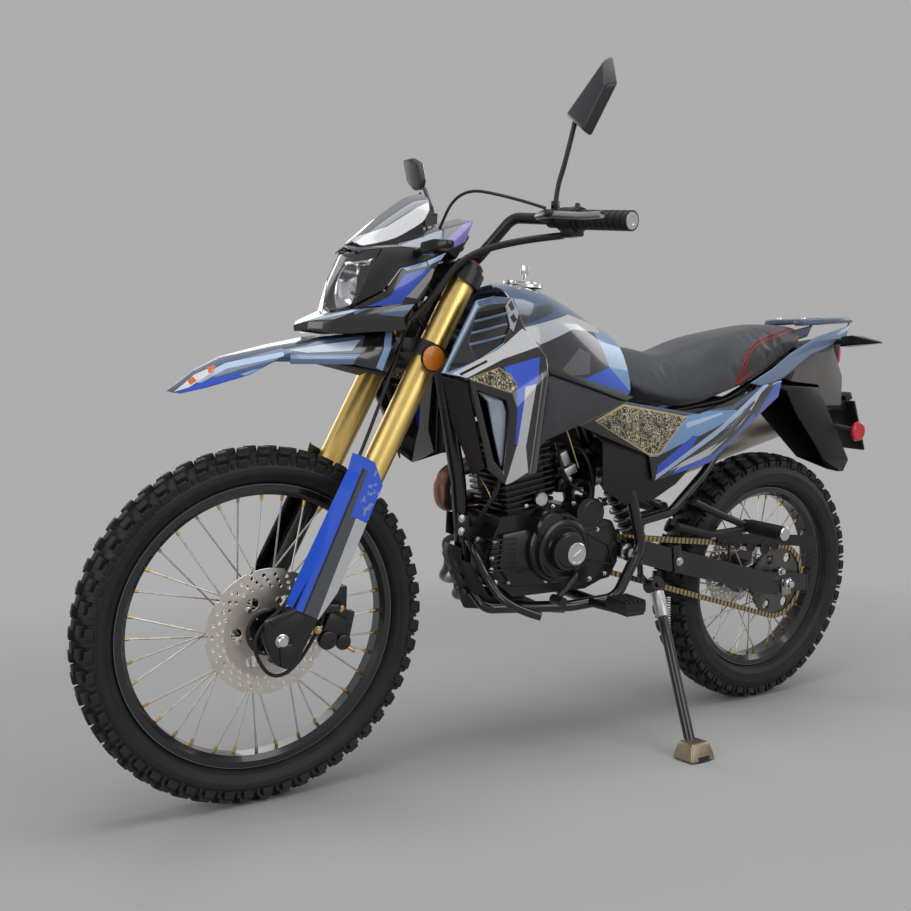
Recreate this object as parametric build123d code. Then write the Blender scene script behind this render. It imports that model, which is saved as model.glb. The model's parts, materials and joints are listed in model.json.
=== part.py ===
from build123d import *
from math import asin, atan2, cos, degrees, hypot, pi, radians, sin, sqrt, tan
import os

# Dual sport motorcycle, millimetres. It is modelled upright in the bike frame:
# X points forward, Y to the rider's left, Z up. The floor is z = 0 and the rear axle is at x = 0.
# park() then leans it to its left, onto its side stand, and centres it on its box.

# ---- chassis geometry ----
WHEELBASE = 1396.0
RAKE = 26.5
TRAIL = 100.0
LEAN = 6.3
FORK_HALF_SPACING = 97.0
CLAMP_OFFSET = 35.0
RUNNING = 0.05
PIECE_GAP = 0.3

# ---- wheels ----
FRONT_TYRE_R = 350.0
FRONT_TYRE_HALF_WIDTH = 42.0
FRONT_RIM_R = 279.0
FRONT_RIM_WELL_R = 257.0
FRONT_RIM_HALF_WIDTH = 23.0
FRONT_SPOKES = 36
REAR_TYRE_R = 330.0
REAR_TYRE_HALF_WIDTH = 55.0
REAR_RIM_R = 241.0
REAR_RIM_WELL_R = 218.0
REAR_RIM_HALF_WIDTH = 31.0
REAR_SPOKES = 36
RIM_WALL = 5.0
BEAD_DEPTH = 8.0
SPOKE_R = 1.8
NIPPLE_R = 3.2
NIPPLE_LENGTH = 14.0

FRONT_HUB_R = 24.0
FRONT_FLANGE_R = 38.0
FRONT_HUB_HALF = 48.0
REAR_HUB_R = 34.0
REAR_FLANGE_R = 60.0
REAR_HUB_HALF = 62.0
FLANGE_THICKNESS = 6.0
AXLE_R = 8.5
BEARING_R = 12.0

FRONT_DISC_R = 122.0
FRONT_DISC_BORE_R = 34.0
FRONT_DISC_Y = 52.0
DISC_THICKNESS = 4.0
REAR_DISC_R = 101.0
REAR_DISC_BORE_R = 36.0
REAR_DISC_Y = -72.0
SPROCKET_R = 92.0
SPROCKET_TEETH = 45
SPROCKET_Y = 80.0
SPROCKET_THICKNESS = 6.0

# ---- chain ----
DRIVE_X = 640.0
DRIVE_Z = 456.0
DRIVE_SPROCKET_R = 34.0
CHAIN_PLATE = 2.0
CHAIN_INNER_GAP = 8.5
CHAIN_HALF_HEIGHT = 6.5
CHAIN_TOOTH_GAP = 0.8

# ---- fork ----
FORK_UPPER_R = 27.0
FORK_UPPER_LOW = 300.0
CLAMP_TOP_LOW = 772.0
CLAMP_TOP_THICKNESS = 30.0
CLAMP_LOW_LOW = 600.0
CLAMP_LOW_THICKNESS = 32.0
FORK_CAP_TOP = 814.0
STANCHION_R = 20.5
LUG_R = 27.0
STEM_R = 15.0
HEAD_TUBE_R = 27.0

# ---- seat, pegs, stand ----
SEAT_HEIGHT = 895.0
STAND_PIVOT = (475.0, 128.0, 372.0)
STAND_FOOT = (520.0, 325.0)
STAND_LEG_R = 12.0
STAND_AXIS_TILT = 22.0
STAND_FOLD = 97.0
STEER_LIMIT = 40.0
STEER_FRICTION = 8.0

# ---- tubes ----
BACKBONE_R = 20.0
DOWNTUBE_R = 17.0
CRADLE_R = 12.5
SUBFRAME_R = 11.0
BAR_R = 11.0
GRIP_R = 17.0
GRIP_LENGTH = 125.0
BAR_END_Y = 415.0
HEADER_R = 19.0
MUFFLER_R = 50.0

# ---- panels ----
PIVOT_X = 551.0
PIVOT_Z = 452.0
PIVOT_TUBE_R = 14.0
PANEL_WALL = 4.0
FENDER_WALL = 4.0


STEERING = ("triple_clamps", "fork_uppers", "fork_lowers", "front_axle", "fork_guards", "handlebar", "grips",
            "bar_controls", "mirrors", "front_fender", "headlamp_mask", "headlamp", "windscreen", "cluster",
            "front_indicators", "front_caliper", "brake_hose")


def line_x(offset, height):
    """x of the line that runs along the steering axis, offset ahead of it, at a height."""
    return WHEELBASE + TRAIL - height * tan(radians(RAKE)) + offset / cos(radians(RAKE))


# Perpendicular distance from the fork legs' centre line to the front axle.
AXLE_LEAD = (WHEELBASE - line_x(0, FRONT_TYRE_R)) * cos(radians(RAKE)) - CLAMP_OFFSET
FRONT_AXLE = Vector(WHEELBASE, 0, FRONT_TYRE_R)
REAR_AXLE = Vector(0, 0, REAR_TYRE_R)
FORK_UP = Vector(-sin(radians(RAKE)), 0, cos(radians(RAKE)))
FORK_AHEAD = Vector(cos(radians(RAKE)), 0, sin(radians(RAKE)))
FORK_FOOT = FRONT_AXLE - FORK_AHEAD * AXLE_LEAD


def at_fork(up, ahead=0.0, side=0.0):
    """A point given along the fork legs from the axle, ahead of them, and to the left."""
    return FORK_FOOT + FORK_UP * up + FORK_AHEAD * ahead + Vector(0, side, 0)


def rod(start, end, radius):
    """A straight round bar between two points."""
    start, end = Vector(start), Vector(end)
    face = Plane(origin=start, z_dir=end - start) * Circle(radius)
    return extrude(face, amount=(end - start).length)


def bent_tube(points, radius, bend):
    """A round bar along straight runs joined by arcs, one bend radius for all corners or a list."""
    bends = bend if isinstance(bend, (list, tuple)) else [bend] * (len(points) - 2)
    path = FilletPolyline(*points, radius=list(bends))
    return sweep(Plane(origin=path @ 0, z_dir=path % 0) * Circle(radius), path=path)


def side_plate(outline, y_low, y_high):
    """A plate with an outline of (x, z) points, between two lateral places."""
    face = Plane.XZ.offset(-y_low) * make_face(Polyline(*outline, close=True))
    return extrude(face, amount=-(y_high - y_low))


def cross_rod(x, z, radius, y_low, y_high):
    """A round bar across the bike."""
    return rod((x, y_low, z), (x, y_high, z), radius)


def ruled_body(sections):
    """A closed body through flat outlines of 3-D points, one after the other."""
    wires = [Wire.make_polygon([Vector(*p) for p in ring], close=True) for ring in sections]
    return Solid.make_loft(wires, ruled=True)


def both_sides(shape):
    """The shape with its mirror image across the bike's middle plane, as one part."""
    return Part() + [shape, mirror(shape, about=Plane.XZ)]


def faceted_slab(points, facets, wall):
    """A panel on the left side: outer facets between named points, and a wall towards the middle."""
    outer = {name: Vector(*place) for name, place in points.items()}
    inner = {name: place - Vector(0, wall, 0) for name, place in outer.items()}
    faces = [Face(Wire.make_polygon([outer[n] for n in facet])) for facet in facets]
    faces += [Face(Wire.make_polygon([inner[n] for n in reversed(facet)])) for facet in facets]
    edges = {(a, b) for facet in facets for a, b in zip(facet, facet[1:] + facet[:1])}
    for a, b in sorted(edges):
        if (b, a) not in edges:
            faces.append(Face(Wire.make_polygon([outer[b], outer[a], inner[a]])))
            faces.append(Face(Wire.make_polygon([outer[b], inner[a], inner[b]])))
    return Solid(Shell(faces))


# ---------------------------------------------------------------- wheels
def wheel_plane(axle):
    """The plane of a wheel, whose axis runs across the bike."""
    return Plane(origin=axle, x_dir=(1, 0, 0), z_dir=(0, 1, 0))


def spin(profile, axle):
    """A body of revolution about an axle from (y, radius) points, as a profile of straight lines."""
    face = make_face(Polyline(*profile, close=True))
    turned = revolve(face, axis=Axis.X)
    return Pos(axle.X, axle.Y, axle.Z) * Rot(0, 0, 90) * turned


def tyre(axle, outer_r, half_width, rim_r, rim_half):
    """A plain tyre, out to the tips of its lugs, seated on the rim's beads."""
    bead_r = rim_r - BEAD_DEPTH
    crown_half = half_width * 0.55
    shoulder_r = outer_r - crown_half ** 2 / (2 * (outer_r - rim_r))
    outline = Wire([
        Edge.make_three_point_arc((-crown_half, shoulder_r, 0), (0, outer_r, 0), (crown_half, shoulder_r, 0)),
        Edge.make_line((crown_half, shoulder_r, 0), (half_width, outer_r - 26, 0)),
        Edge.make_three_point_arc((half_width, outer_r - 26, 0),
                                  (half_width - 2, rim_r + 22, 0), (rim_half - RIM_WALL, rim_r + 2, 0)),
        Edge.make_line((rim_half - RIM_WALL, rim_r + 2, 0), (rim_half - RIM_WALL, bead_r, 0)),
        Edge.make_line((rim_half - RIM_WALL, bead_r, 0), (RIM_WALL - rim_half, bead_r, 0)),
        Edge.make_line((RIM_WALL - rim_half, bead_r, 0), (RIM_WALL - rim_half, rim_r + 2, 0)),
        Edge.make_three_point_arc((RIM_WALL - rim_half, rim_r + 2, 0),
                                  (2 - half_width, rim_r + 22, 0), (-half_width, outer_r - 26, 0)),
        Edge.make_line((-half_width, outer_r - 26, 0), (-crown_half, shoulder_r, 0)),
    ])
    turned = revolve(Face(outline), axis=Axis.X)
    return Pos(axle.X, axle.Y, axle.Z) * Rot(0, 0, 90) * turned


def laced_wheel(axle, rim_r, well_r, rim_half, hub, spokes):
    """Rim, hub and crossed spokes. hub = (radius, flange radius, half length, flange half spacing)."""
    hub_r, flange_r, hub_half, flange_y = hub
    bead_r = rim_r - BEAD_DEPTH
    rim = spin([(-rim_half, rim_r), (-rim_half + RIM_WALL, rim_r), (-rim_half + RIM_WALL, bead_r),
                (rim_half - RIM_WALL, bead_r), (rim_half - RIM_WALL, rim_r), (rim_half, rim_r),
                (rim_half, bead_r - RIM_WALL), (rim_half * 0.6, well_r),
                (-rim_half * 0.6, well_r), (-rim_half, bead_r - RIM_WALL)], axle)
    half_flange = FLANGE_THICKNESS / 2
    body = spin([(-hub_half, AXLE_R + RUNNING), (-hub_half, BEARING_R + 8), (-flange_y - half_flange, hub_r),
                 (-flange_y - half_flange, flange_r), (-flange_y + half_flange, flange_r),
                 (-flange_y + half_flange, hub_r), (flange_y - half_flange, hub_r),
                 (flange_y - half_flange, flange_r), (flange_y + half_flange, flange_r),
                 (flange_y + half_flange, hub_r), (hub_half, BEARING_R + 8),
                 (hub_half, AXLE_R + RUNNING)], axle)
    wires = []
    seat_r = flange_r - 4
    reach = well_r + RIM_WALL / 2
    pitch = 2 * pi / spokes
    for number in range(spokes):
        side = 1 if number % 2 else -1
        lay = 1 if (number // 2) % 2 else -1
        rim_angle = number * pitch
        hub_angle = rim_angle + lay * radians(62)
        foot = Vector(seat_r * cos(hub_angle), side * flange_y, seat_r * sin(hub_angle))
        tip = Vector(reach * cos(rim_angle), side * 4, reach * sin(rim_angle))
        along = (tip - foot).normalized()
        wires.append(rod(axle + foot, axle + tip, SPOKE_R))
        wires.append(rod(axle + tip - along * NIPPLE_LENGTH, axle + tip, NIPPLE_R))
    return rim + body + wires


def brake_disc(axle, radius, bore_r, place_y, holes):
    """A brake disc with a wavy rim and rows of small holes."""
    plane = Plane(origin=axle + Vector(0, place_y - DISC_THICKNESS / 2, 0), x_dir=(1, 0, 0), z_dir=(0, 1, 0))
    profile = Circle(radius) - Circle(bore_r)
    notch_r = 9
    profile -= PolarLocations(radius + notch_r * 0.45, 10) * Circle(notch_r)
    for row, ring_r in enumerate((radius - 12, radius - 22, radius - 32)):
        profile -= Rot(0, 0, row * 8) * PolarLocations(ring_r, holes) * Circle(4)
    profile -= PolarLocations((radius - 40 + bore_r + 12) / 2, 6) * Circle((radius - 52 - bore_r) / 3)
    return extrude(plane * profile, amount=DISC_THICKNESS)


def make_wheels():
    """The nodes of both wheels."""
    front_hub = (FRONT_HUB_R, FRONT_FLANGE_R, FRONT_HUB_HALF, 32.0)
    rear_hub = (REAR_HUB_R, REAR_FLANGE_R, REAR_HUB_HALF, 40.0)
    hub_ring = spin([(FRONT_DISC_Y - DISC_THICKNESS / 2, AXLE_R + RUNNING),
                     (FRONT_DISC_Y - DISC_THICKNESS / 2, FRONT_DISC_BORE_R + 8),
                     (FRONT_HUB_HALF - 14, FRONT_DISC_BORE_R + 8), (FRONT_HUB_HALF - 14, AXLE_R + RUNNING)],
                    FRONT_AXLE)
    front_wheel = laced_wheel(FRONT_AXLE, FRONT_RIM_R, FRONT_RIM_WELL_R, FRONT_RIM_HALF_WIDTH,
                              front_hub, FRONT_SPOKES) + hub_ring
    rear_wheel = laced_wheel(REAR_AXLE, REAR_RIM_R, REAR_RIM_WELL_R, REAR_RIM_HALF_WIDTH,
                             rear_hub, REAR_SPOKES)
    sprocket_low = SPROCKET_Y - SPROCKET_THICKNESS / 2
    carrier = spin([(REAR_HUB_HALF - 4, AXLE_R + RUNNING), (REAR_HUB_HALF - 4, REAR_DISC_BORE_R + 22),
                    (sprocket_low, REAR_DISC_BORE_R + 22), (sprocket_low, AXLE_R + RUNNING)], REAR_AXLE)
    disc_high = REAR_DISC_Y + DISC_THICKNESS / 2
    disc_seat = spin([(disc_high, AXLE_R + RUNNING), (disc_high, REAR_DISC_BORE_R + 10),
                      (4 - REAR_HUB_HALF, REAR_DISC_BORE_R + 10), (4 - REAR_HUB_HALF, AXLE_R + RUNNING)],
                     REAR_AXLE)
    tooth_depth = CHAIN_HALF_HEIGHT + 1
    plane = Plane(origin=(0, sprocket_low, REAR_TYRE_R), x_dir=(1, 0, 0), z_dir=(0, 1, 0))
    sprocket = Circle(SPROCKET_R + 1) - Circle(REAR_DISC_BORE_R)
    sprocket -= PolarLocations(SPROCKET_R - 24, 6) * Circle(13)
    tooth_notch = 2 * pi * SPROCKET_R / SPROCKET_TEETH * 0.3
    sprocket -= PolarLocations(SPROCKET_R + 1, SPROCKET_TEETH) * Circle(tooth_notch)
    return {
        "front_tyre": tyre(FRONT_AXLE, FRONT_TYRE_R, FRONT_TYRE_HALF_WIDTH, FRONT_RIM_R, FRONT_RIM_HALF_WIDTH),
        "front_laced_wheel": front_wheel,
        "front_disc": brake_disc(FRONT_AXLE, FRONT_DISC_R, FRONT_DISC_BORE_R, FRONT_DISC_Y, 30),
        "rear_tyre": tyre(REAR_AXLE, REAR_TYRE_R, REAR_TYRE_HALF_WIDTH, REAR_RIM_R, REAR_RIM_HALF_WIDTH),
        "rear_laced_wheel": rear_wheel + carrier + disc_seat,
        "rear_disc": brake_disc(REAR_AXLE, REAR_DISC_R, REAR_DISC_BORE_R, REAR_DISC_Y, 24),
        "rear_sprocket": extrude(plane * sprocket, amount=SPROCKET_THICKNESS),
    }


# ---------------------------------------------------------------- steering
def clamp_plate(low, thickness, reach_ahead):
    """A triple clamp: a plate across the two legs and the stem, cut off square to the legs."""
    plane = Plane(origin=at_fork(low), x_dir=FORK_AHEAD, z_dir=FORK_UP)
    leg_r = FORK_UPPER_R + 9
    outline = make_hull((Pos(0, FORK_HALF_SPACING) * Circle(leg_r)).edges()
                        + (Pos(0, -FORK_HALF_SPACING) * Circle(leg_r)).edges()
                        + (Pos(-CLAMP_OFFSET, 0) * Circle(STEM_R + 12)).edges())
    bores = [Pos(0, side * FORK_HALF_SPACING) * Circle(FORK_UPPER_R) for side in (1, -1)]
    return extrude(plane * (outline - bores), amount=thickness)


def make_fork():
    """Clamps, legs, axle and guards."""
    clamp_gap = CLAMP_TOP_LOW - CLAMP_LOW_LOW
    stem = rod(at_fork(CLAMP_LOW_LOW, -CLAMP_OFFSET), at_fork(CLAMP_TOP_LOW + 4, -CLAMP_OFFSET), STEM_R)
    top_nut = rod(at_fork(CLAMP_TOP_LOW + CLAMP_TOP_THICKNESS, -CLAMP_OFFSET),
                  at_fork(CLAMP_TOP_LOW + CLAMP_TOP_THICKNESS + 8, -CLAMP_OFFSET), STEM_R)
    clamps = clamp_plate(CLAMP_TOP_LOW, CLAMP_TOP_THICKNESS, 0) + clamp_plate(CLAMP_LOW_LOW, CLAMP_LOW_THICKNESS, 0)
    clamps = clamps + stem + top_nut
    uppers, lowers, guards = Part(), Part(), Part()
    for side in (1, -1):
        y = side * FORK_HALF_SPACING
        uppers += rod(at_fork(FORK_UPPER_LOW, 0, y), at_fork(FORK_CAP_TOP, 0, y), FORK_UPPER_R)
        leg = rod(at_fork(20, 0, y), at_fork(FORK_UPPER_LOW, 0, y), STANCHION_R)
        leg += rod(at_fork(-20, 0, y), at_fork(90, 0, y), LUG_R)
        leg += rod(FRONT_AXLE + Vector(0, y - side * 22, 0), FRONT_AXLE + Vector(0, y + side * 22, 0), LUG_R)
        foot = at_fork(-46, 6, y)
        leg += rod(foot, at_fork(-10, 6, y), LUG_R - 6)
        leg -= rod(FRONT_AXLE + Vector(0, y - side * 40, 0), FRONT_AXLE + Vector(0, y + side * 40, 0), AXLE_R)
        lowers += leg
        guards += guard_shell(side)
    axle_end = FORK_HALF_SPACING + 26
    axle = rod(FRONT_AXLE - Vector(0, axle_end, 0), FRONT_AXLE + Vector(0, axle_end, 0), AXLE_R)
    return {"triple_clamps": clamps, "fork_uppers": uppers, "fork_lowers": lowers,
            "front_axle": axle, "fork_guards": guards}


def guard_shell(side):
    """A guard that covers the front and the outer side of one leg, on the lug's top bolt."""
    # place along the leg, and the guard's rear edge and front edge ahead of the leg's centre
    stations = ((62, -14, 47), (120, -26, 50), (340, -16, 52), (372, 20, 58))
    rings = []
    for up, back, front in stations:
        gap = LUG_R + 2
        out = gap + PANEL_WALL
        inner_front = front - PANEL_WALL
        ring = ((back, gap), (back, out), (front - 12, out), (front, 4), (inner_front, 4),
                (front - 12 - PANEL_WALL * 0.7, gap))
        rings.append([at_fork(up, ahead, side * (FORK_HALF_SPACING + lateral)) for ahead, lateral in ring])
    shell = ruled_body([[tuple(p) for p in ring] for ring in rings])
    bolt = rod(at_fork(78, -6, side * (FORK_HALF_SPACING + LUG_R - 2)),
               at_fork(78, -6, side * (FORK_HALF_SPACING + LUG_R + 3)), 7)
    lug = rod(at_fork(78, -6, side * FORK_HALF_SPACING), at_fork(78, 0, side * FORK_HALF_SPACING), 1)
    return shell + (bolt - rod(at_fork(-20, 0, side * FORK_HALF_SPACING), at_fork(90, 0, side * FORK_HALF_SPACING), LUG_R))


def make_bars():
    """Handlebar with its clamps, grips, controls and mirrors."""
    bar_mid = at_fork(CLAMP_TOP_LOW + CLAMP_TOP_THICKNESS + 34, -24)
    bar_x, bar_z = bar_mid.X, bar_mid.Z
    route = [(bar_x, 60, bar_z), (bar_x - 50, 122, bar_z + 92), (bar_x - 72, 210, bar_z + 84),
             (869, BAR_END_Y, bar_z + 66)]
    left = bent_tube([(bar_x, 0, bar_z)] + route, BAR_R, [38, 34, 60])
    bar = both_sides(left)
    clamp_top = at_fork(CLAMP_TOP_LOW + CLAMP_TOP_THICKNESS, -24)
    for side in (1, -1):
        shift = Vector(0, side * 42, 0)
        riser = rod(clamp_top + shift, bar_mid + shift + FORK_UP * 14, 15)
        bar += riser
    grip_start = Vector(*route[2])
    grip_dir = (Vector(*route[3]) - grip_start).normalized()
    grip_out = Vector(*route[3])
    grips = Part()
    controls = Part()
    mirrors = Part()
    sleeve_start = grip_out - grip_dir * GRIP_LENGTH
    for side in (1, -1):
        grip = rod(sleeve_start, grip_out - grip_dir * 1, GRIP_R)
        grip -= rod(grip_start, grip_out + grip_dir * 9, BAR_R)
        flange = rod(sleeve_start, sleeve_start + grip_dir * 5, GRIP_R + 6)
        flange -= rod(grip_start, grip_out, BAR_R)
        grip = grip + flange
        grips += grip if side > 0 else mirror(grip, about=Plane.XZ)
        pod = rod(sleeve_start - grip_dir * 42, sleeve_start - grip_dir * 3, 23)
        perch = rod(sleeve_start - grip_dir * 74, sleeve_start - grip_dir * 46, 17)
        lever_pivot = sleeve_start - grip_dir * 60 + Vector(34, 0, 2)
        perch += rod(sleeve_start - grip_dir * 60 + Vector(10, 0, 0), lever_pivot + Vector(6, 0, 0), 9)
        cut = rod(grip_start - grip_dir * 30, grip_out, BAR_R)
        lever = bent_tube([lever_pivot, lever_pivot + Vector(16, 34, 0), sleeve_start + Vector(50, 60, -4),
                           sleeve_start + Vector(44, 118, -6)], 6, [30, 60])
        bridge = rod(sleeve_start - grip_dir * 50, sleeve_start - grip_dir * 38, 15)
        block = (pod + perch + bridge - cut) + lever
        if side < 0:
            reservoir = Pos(*(sleeve_start - grip_dir * 60 + Vector(28, 0, 34))) * Box(40, 52, 30)
            block += reservoir + rod(sleeve_start - grip_dir * 60 + Vector(24, 0, 6),
                                     sleeve_start - grip_dir * 60 + Vector(26, 0, 30), 9)
        controls += block if side > 0 else mirror(block, about=Plane.XZ)
        stem_base = sleeve_start - grip_dir * 60 + Vector(4, 0, 12)
        stem = bent_tube([stem_base, stem_base + Vector(0, 0, 44), (893, 247, 1262), (884, 262, 1348)], 5, [24, 60])
        stem -= rod(sleeve_start - grip_dir * 80, sleeve_start - grip_dir * 40, 17)
        head = ConvexPolyhedron([(866, 222, 1352), (850, 320, 1453), (858, 348, 1392), (880, 305, 1300),
                                 (893, 238, 1352), (872, 318, 1440), (884, 338, 1386), (900, 300, 1312)])
        glass = stem + head
        mirrors += glass if side > 0 else mirror(glass, about=Plane.XZ)
    return {"handlebar": bar, "grips": grips, "bar_controls": controls, "mirrors": mirrors}


def make_front_bodywork():
    """Fender, lamp mask, lamp, screen, instruments and indicators."""
    # fender stations: x, top z, crease half width, crease drop, edge half width, edge drop
    stations = ((1160, 905, 34, 8, 62, 84), (1225, 912, 44, 10, 70, 52), (1300, 905, 46, 12, 74, 40),
                (1390, 886, 44, 12, 72, 34), (1487, 848, 32, 8, 54, 22), (1578, 801, 4, 1, 8, 4))
    rings = []
    for x, top, crease, crease_drop, edge, edge_drop in stations:
        drop = FENDER_WALL
        ring = ((-edge, top - edge_drop), (-crease, top - crease_drop), (0, top), (crease, top - crease_drop),
                (edge, top - edge_drop), (edge - drop * 0.4, top - edge_drop - drop), (crease, top - crease_drop - drop),
                (0, top - drop), (-crease, top - crease_drop - drop), (drop * 0.4 - edge, top - edge_drop - drop))
        rings.append([(x, y, z) for y, z in ring])
    fender = ruled_body(rings)
    under = at_fork(CLAMP_LOW_LOW, 6)
    fender_post = rod((1184, 0, 894), under, 20)
    mask_hull = ConvexPolyhedron([
        (1226, 0, 1091), (1206, 62, 1088), (1206, -62, 1088), (1252, 50, 972), (1252, -50, 972),
        (1268, 0, 960), (1247, 88, 968), (1247, -88, 968), (1125, 104, 992), (1125, -104, 992),
        (1098, 110, 1044), (1098, -110, 1044), (1062, 104, 1087), (1062, -104, 1087),
        (1075, 60, 1120), (1075, -60, 1120), (1180, 40, 1120), (1180, -40, 1120)])
    lens = ConvexPolyhedron([
        (1245, 22, 1066), (1245, -22, 1066), (1216, 62, 1076), (1216, -62, 1076),
        (1256, 47, 978), (1256, -47, 978), (1276, 18, 963), (1276, -18, 963),
        (1190, 50, 1060), (1190, -50, 1060), (1210, 40, 985), (1210, -40, 985)])
    beak = ruled_body([
        [(1120, -96, 972), (1120, 96, 972), (1120, 96, 958), (1120, -96, 958)],
        [(1235, -84, 958), (1235, 84, 958), (1235, 84, 946), (1235, -84, 946)],
        [(1287, -70, 938), (1287, 70, 938), (1287, 70, 926), (1287, -70, 926)],
        [(1338, -8, 924), (1338, 8, 924), (1338, 8, 920), (1338, -8, 920)]])
    brackets = Part()
    for side in (1, -1):
        for up in (664, 730):
            inner = at_fork(up, 0, side * FORK_HALF_SPACING)
            ring = rod(inner - FORK_UP * 9, inner + FORK_UP * 9, FORK_UPPER_R + 6)
            ring -= rod(inner - FORK_UP * 9, inner + FORK_UP * 9, FORK_UPPER_R)
            arm = rod(inner + FORK_AHEAD * (FORK_UPPER_R + 3), (1150, side * 88, 1010 + (up - 664) * 0.5), 6)
            brackets += ring + arm
    neck = rod((1200, 0, 950), (1200, 0, 985), 30)
    mask = mask_hull + beak + brackets + neck
    screen = ruled_body([[(1222, -52, 1094), (1222, 52, 1094), (1216, 52, 1093), (1216, -52, 1093)],
                         [(1140, -66, 1160), (1140, 66, 1160), (1134, 66, 1158), (1134, -66, 1158)],
                         [(1072, -58, 1206), (1072, 58, 1206), (1066, 58, 1203), (1066, -58, 1203)]])
    screen_foot = ruled_body([[(1222, -40, 1093), (1222, 40, 1093), (1204, 40, 1092), (1204, -40, 1092)],
                              [(1190, -40, 1120), (1190, 40, 1120), (1178, 40, 1119), (1178, -40, 1119)]])
    cluster = ruled_body([[(1030, -62, 1096), (1030, 62, 1096), (1030, 50, 1080), (1030, -50, 1080)],
                          [(1010, -62, 1128), (1010, 62, 1128), (985, 50, 1100), (985, -50, 1100)]])
    indicators = Part()
    for side in (1, -1):
        stalk = rod((1136, side * 104, 1080), (1126, side * 150, 1086), 7)
        lamp = ruled_body([[(1146, side * 148, 1098), (1146, side * 148, 1072), (1104, side * 148, 1074), (1104, side * 148, 1096)],
                           [(1130, side * 196, 1098), (1130, side * 196, 1082), (1108, side * 196, 1084), (1108, side * 196, 1096)]])
        indicators += (stalk + lamp)
    indicators -= mask_hull
    return {"front_fender": fender + fender_post, "headlamp_mask": mask, "headlamp": lens,
            "windscreen": screen, "cluster": cluster, "front_indicators": indicators}


def make_front_brake():
    """Caliper on the left leg and its hose."""
    caliper_mid = FRONT_AXLE + Vector(-118, 0, 42)
    half = FORK_HALF_SPACING - LUG_R
    body = Pos(caliper_mid.X, 60, caliper_mid.Z) * Box(66, 34, 74)
    slot = Pos(caliper_mid.X + 45, FRONT_DISC_Y, caliper_mid.Z) * Box(120, DISC_THICKNESS + 6, 90)
    arm = rod((caliper_mid.X + 10, 72, caliper_mid.Z + 20), at_fork(66, -20, FORK_HALF_SPACING - 24), 9)
    leg = rod(at_fork(-20, 0, FORK_HALF_SPACING), at_fork(90, 0, FORK_HALF_SPACING), LUG_R)
    return {"front_caliper": body - slot + (arm - leg)}


# ---------------------------------------------------------------- chassis
def make_frame():
    """Main frame, subframe and skid plate."""
    head_low = CLAMP_LOW_LOW + CLAMP_LOW_THICKNESS + 6
    head_high = CLAMP_TOP_LOW - 6
    head = rod(at_fork(head_low, -CLAMP_OFFSET), at_fork(head_high, -CLAMP_OFFSET), HEAD_TUBE_R)
    head -= rod(at_fork(head_low - 5, -CLAMP_OFFSET), at_fork(head_high + 5, -CLAMP_OFFSET), STEM_R + RUNNING)
    head_mid = at_fork((head_low + head_high) / 2 + 20, -CLAMP_OFFSET)
    head_foot = at_fork(head_low + 60, -CLAMP_OFFSET)
    backbone = bent_tube([head_mid, (840, 0, 900), (640, 0, 790), (592, 0, 690)], BACKBONE_R, [90, 60])
    downtube = bent_tube([head_foot, (950, 0, 617), (934, 0, 483), (922, 0, 380)], DOWNTUBE_R, [120, 120])
    bore = rod(at_fork(head_low - 5, -CLAMP_OFFSET), at_fork(head_high + 5, -CLAMP_OFFSET), STEM_R + RUNNING)
    frame = head + backbone + downtube
    for side in (1, -1):
        rail = bent_tube([(922, 0, 392), (906, side * 62, 346), (700, side * 96, 338), (590, side * 122, 352),
                          (524, side * 124, 470), (572, side * 120, 622), (592, 0, 696)],
                         CRADLE_R, [26, 90, 50, 60, 70])
        frame += rail
    frame += cross_rod(PIVOT_X, PIVOT_Z, PIVOT_TUBE_R, -124, 124)
    frame += cross_rod(640, 345, CRADLE_R, -104, 104)
    frame -= cross_rod(PIVOT_X, PIVOT_Z, 8, -150, 150)
    frame += side_plate([(1000, 930), (960, 900), (990, 800), (1006, 790)], -4, 4)
    frame -= bore
    subframe = Part()
    for side in (1, -1):
        rail = bent_tube([(566, side * 62, 700), (500, side * 70, 760), (230, side * 72, 800), (-60, side * 60, 930),
                          (-180, side * 50, 950)], SUBFRAME_R, [60, 200, 150])
        strut = bent_tube([(522, side * 104, 520), (416, side * 102, 537), (303, side * 92, 627), (90, side * 70, 862)],
                          SUBFRAME_R, [60, 200])
        subframe += rail + strut
    for x, z in ((566, 700), (230, 800), (-60, 930)):
        subframe += cross_rod(x, z, SUBFRAME_R, -66, 66)
    return {"frame": frame, "subframe": subframe - frame}


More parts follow.
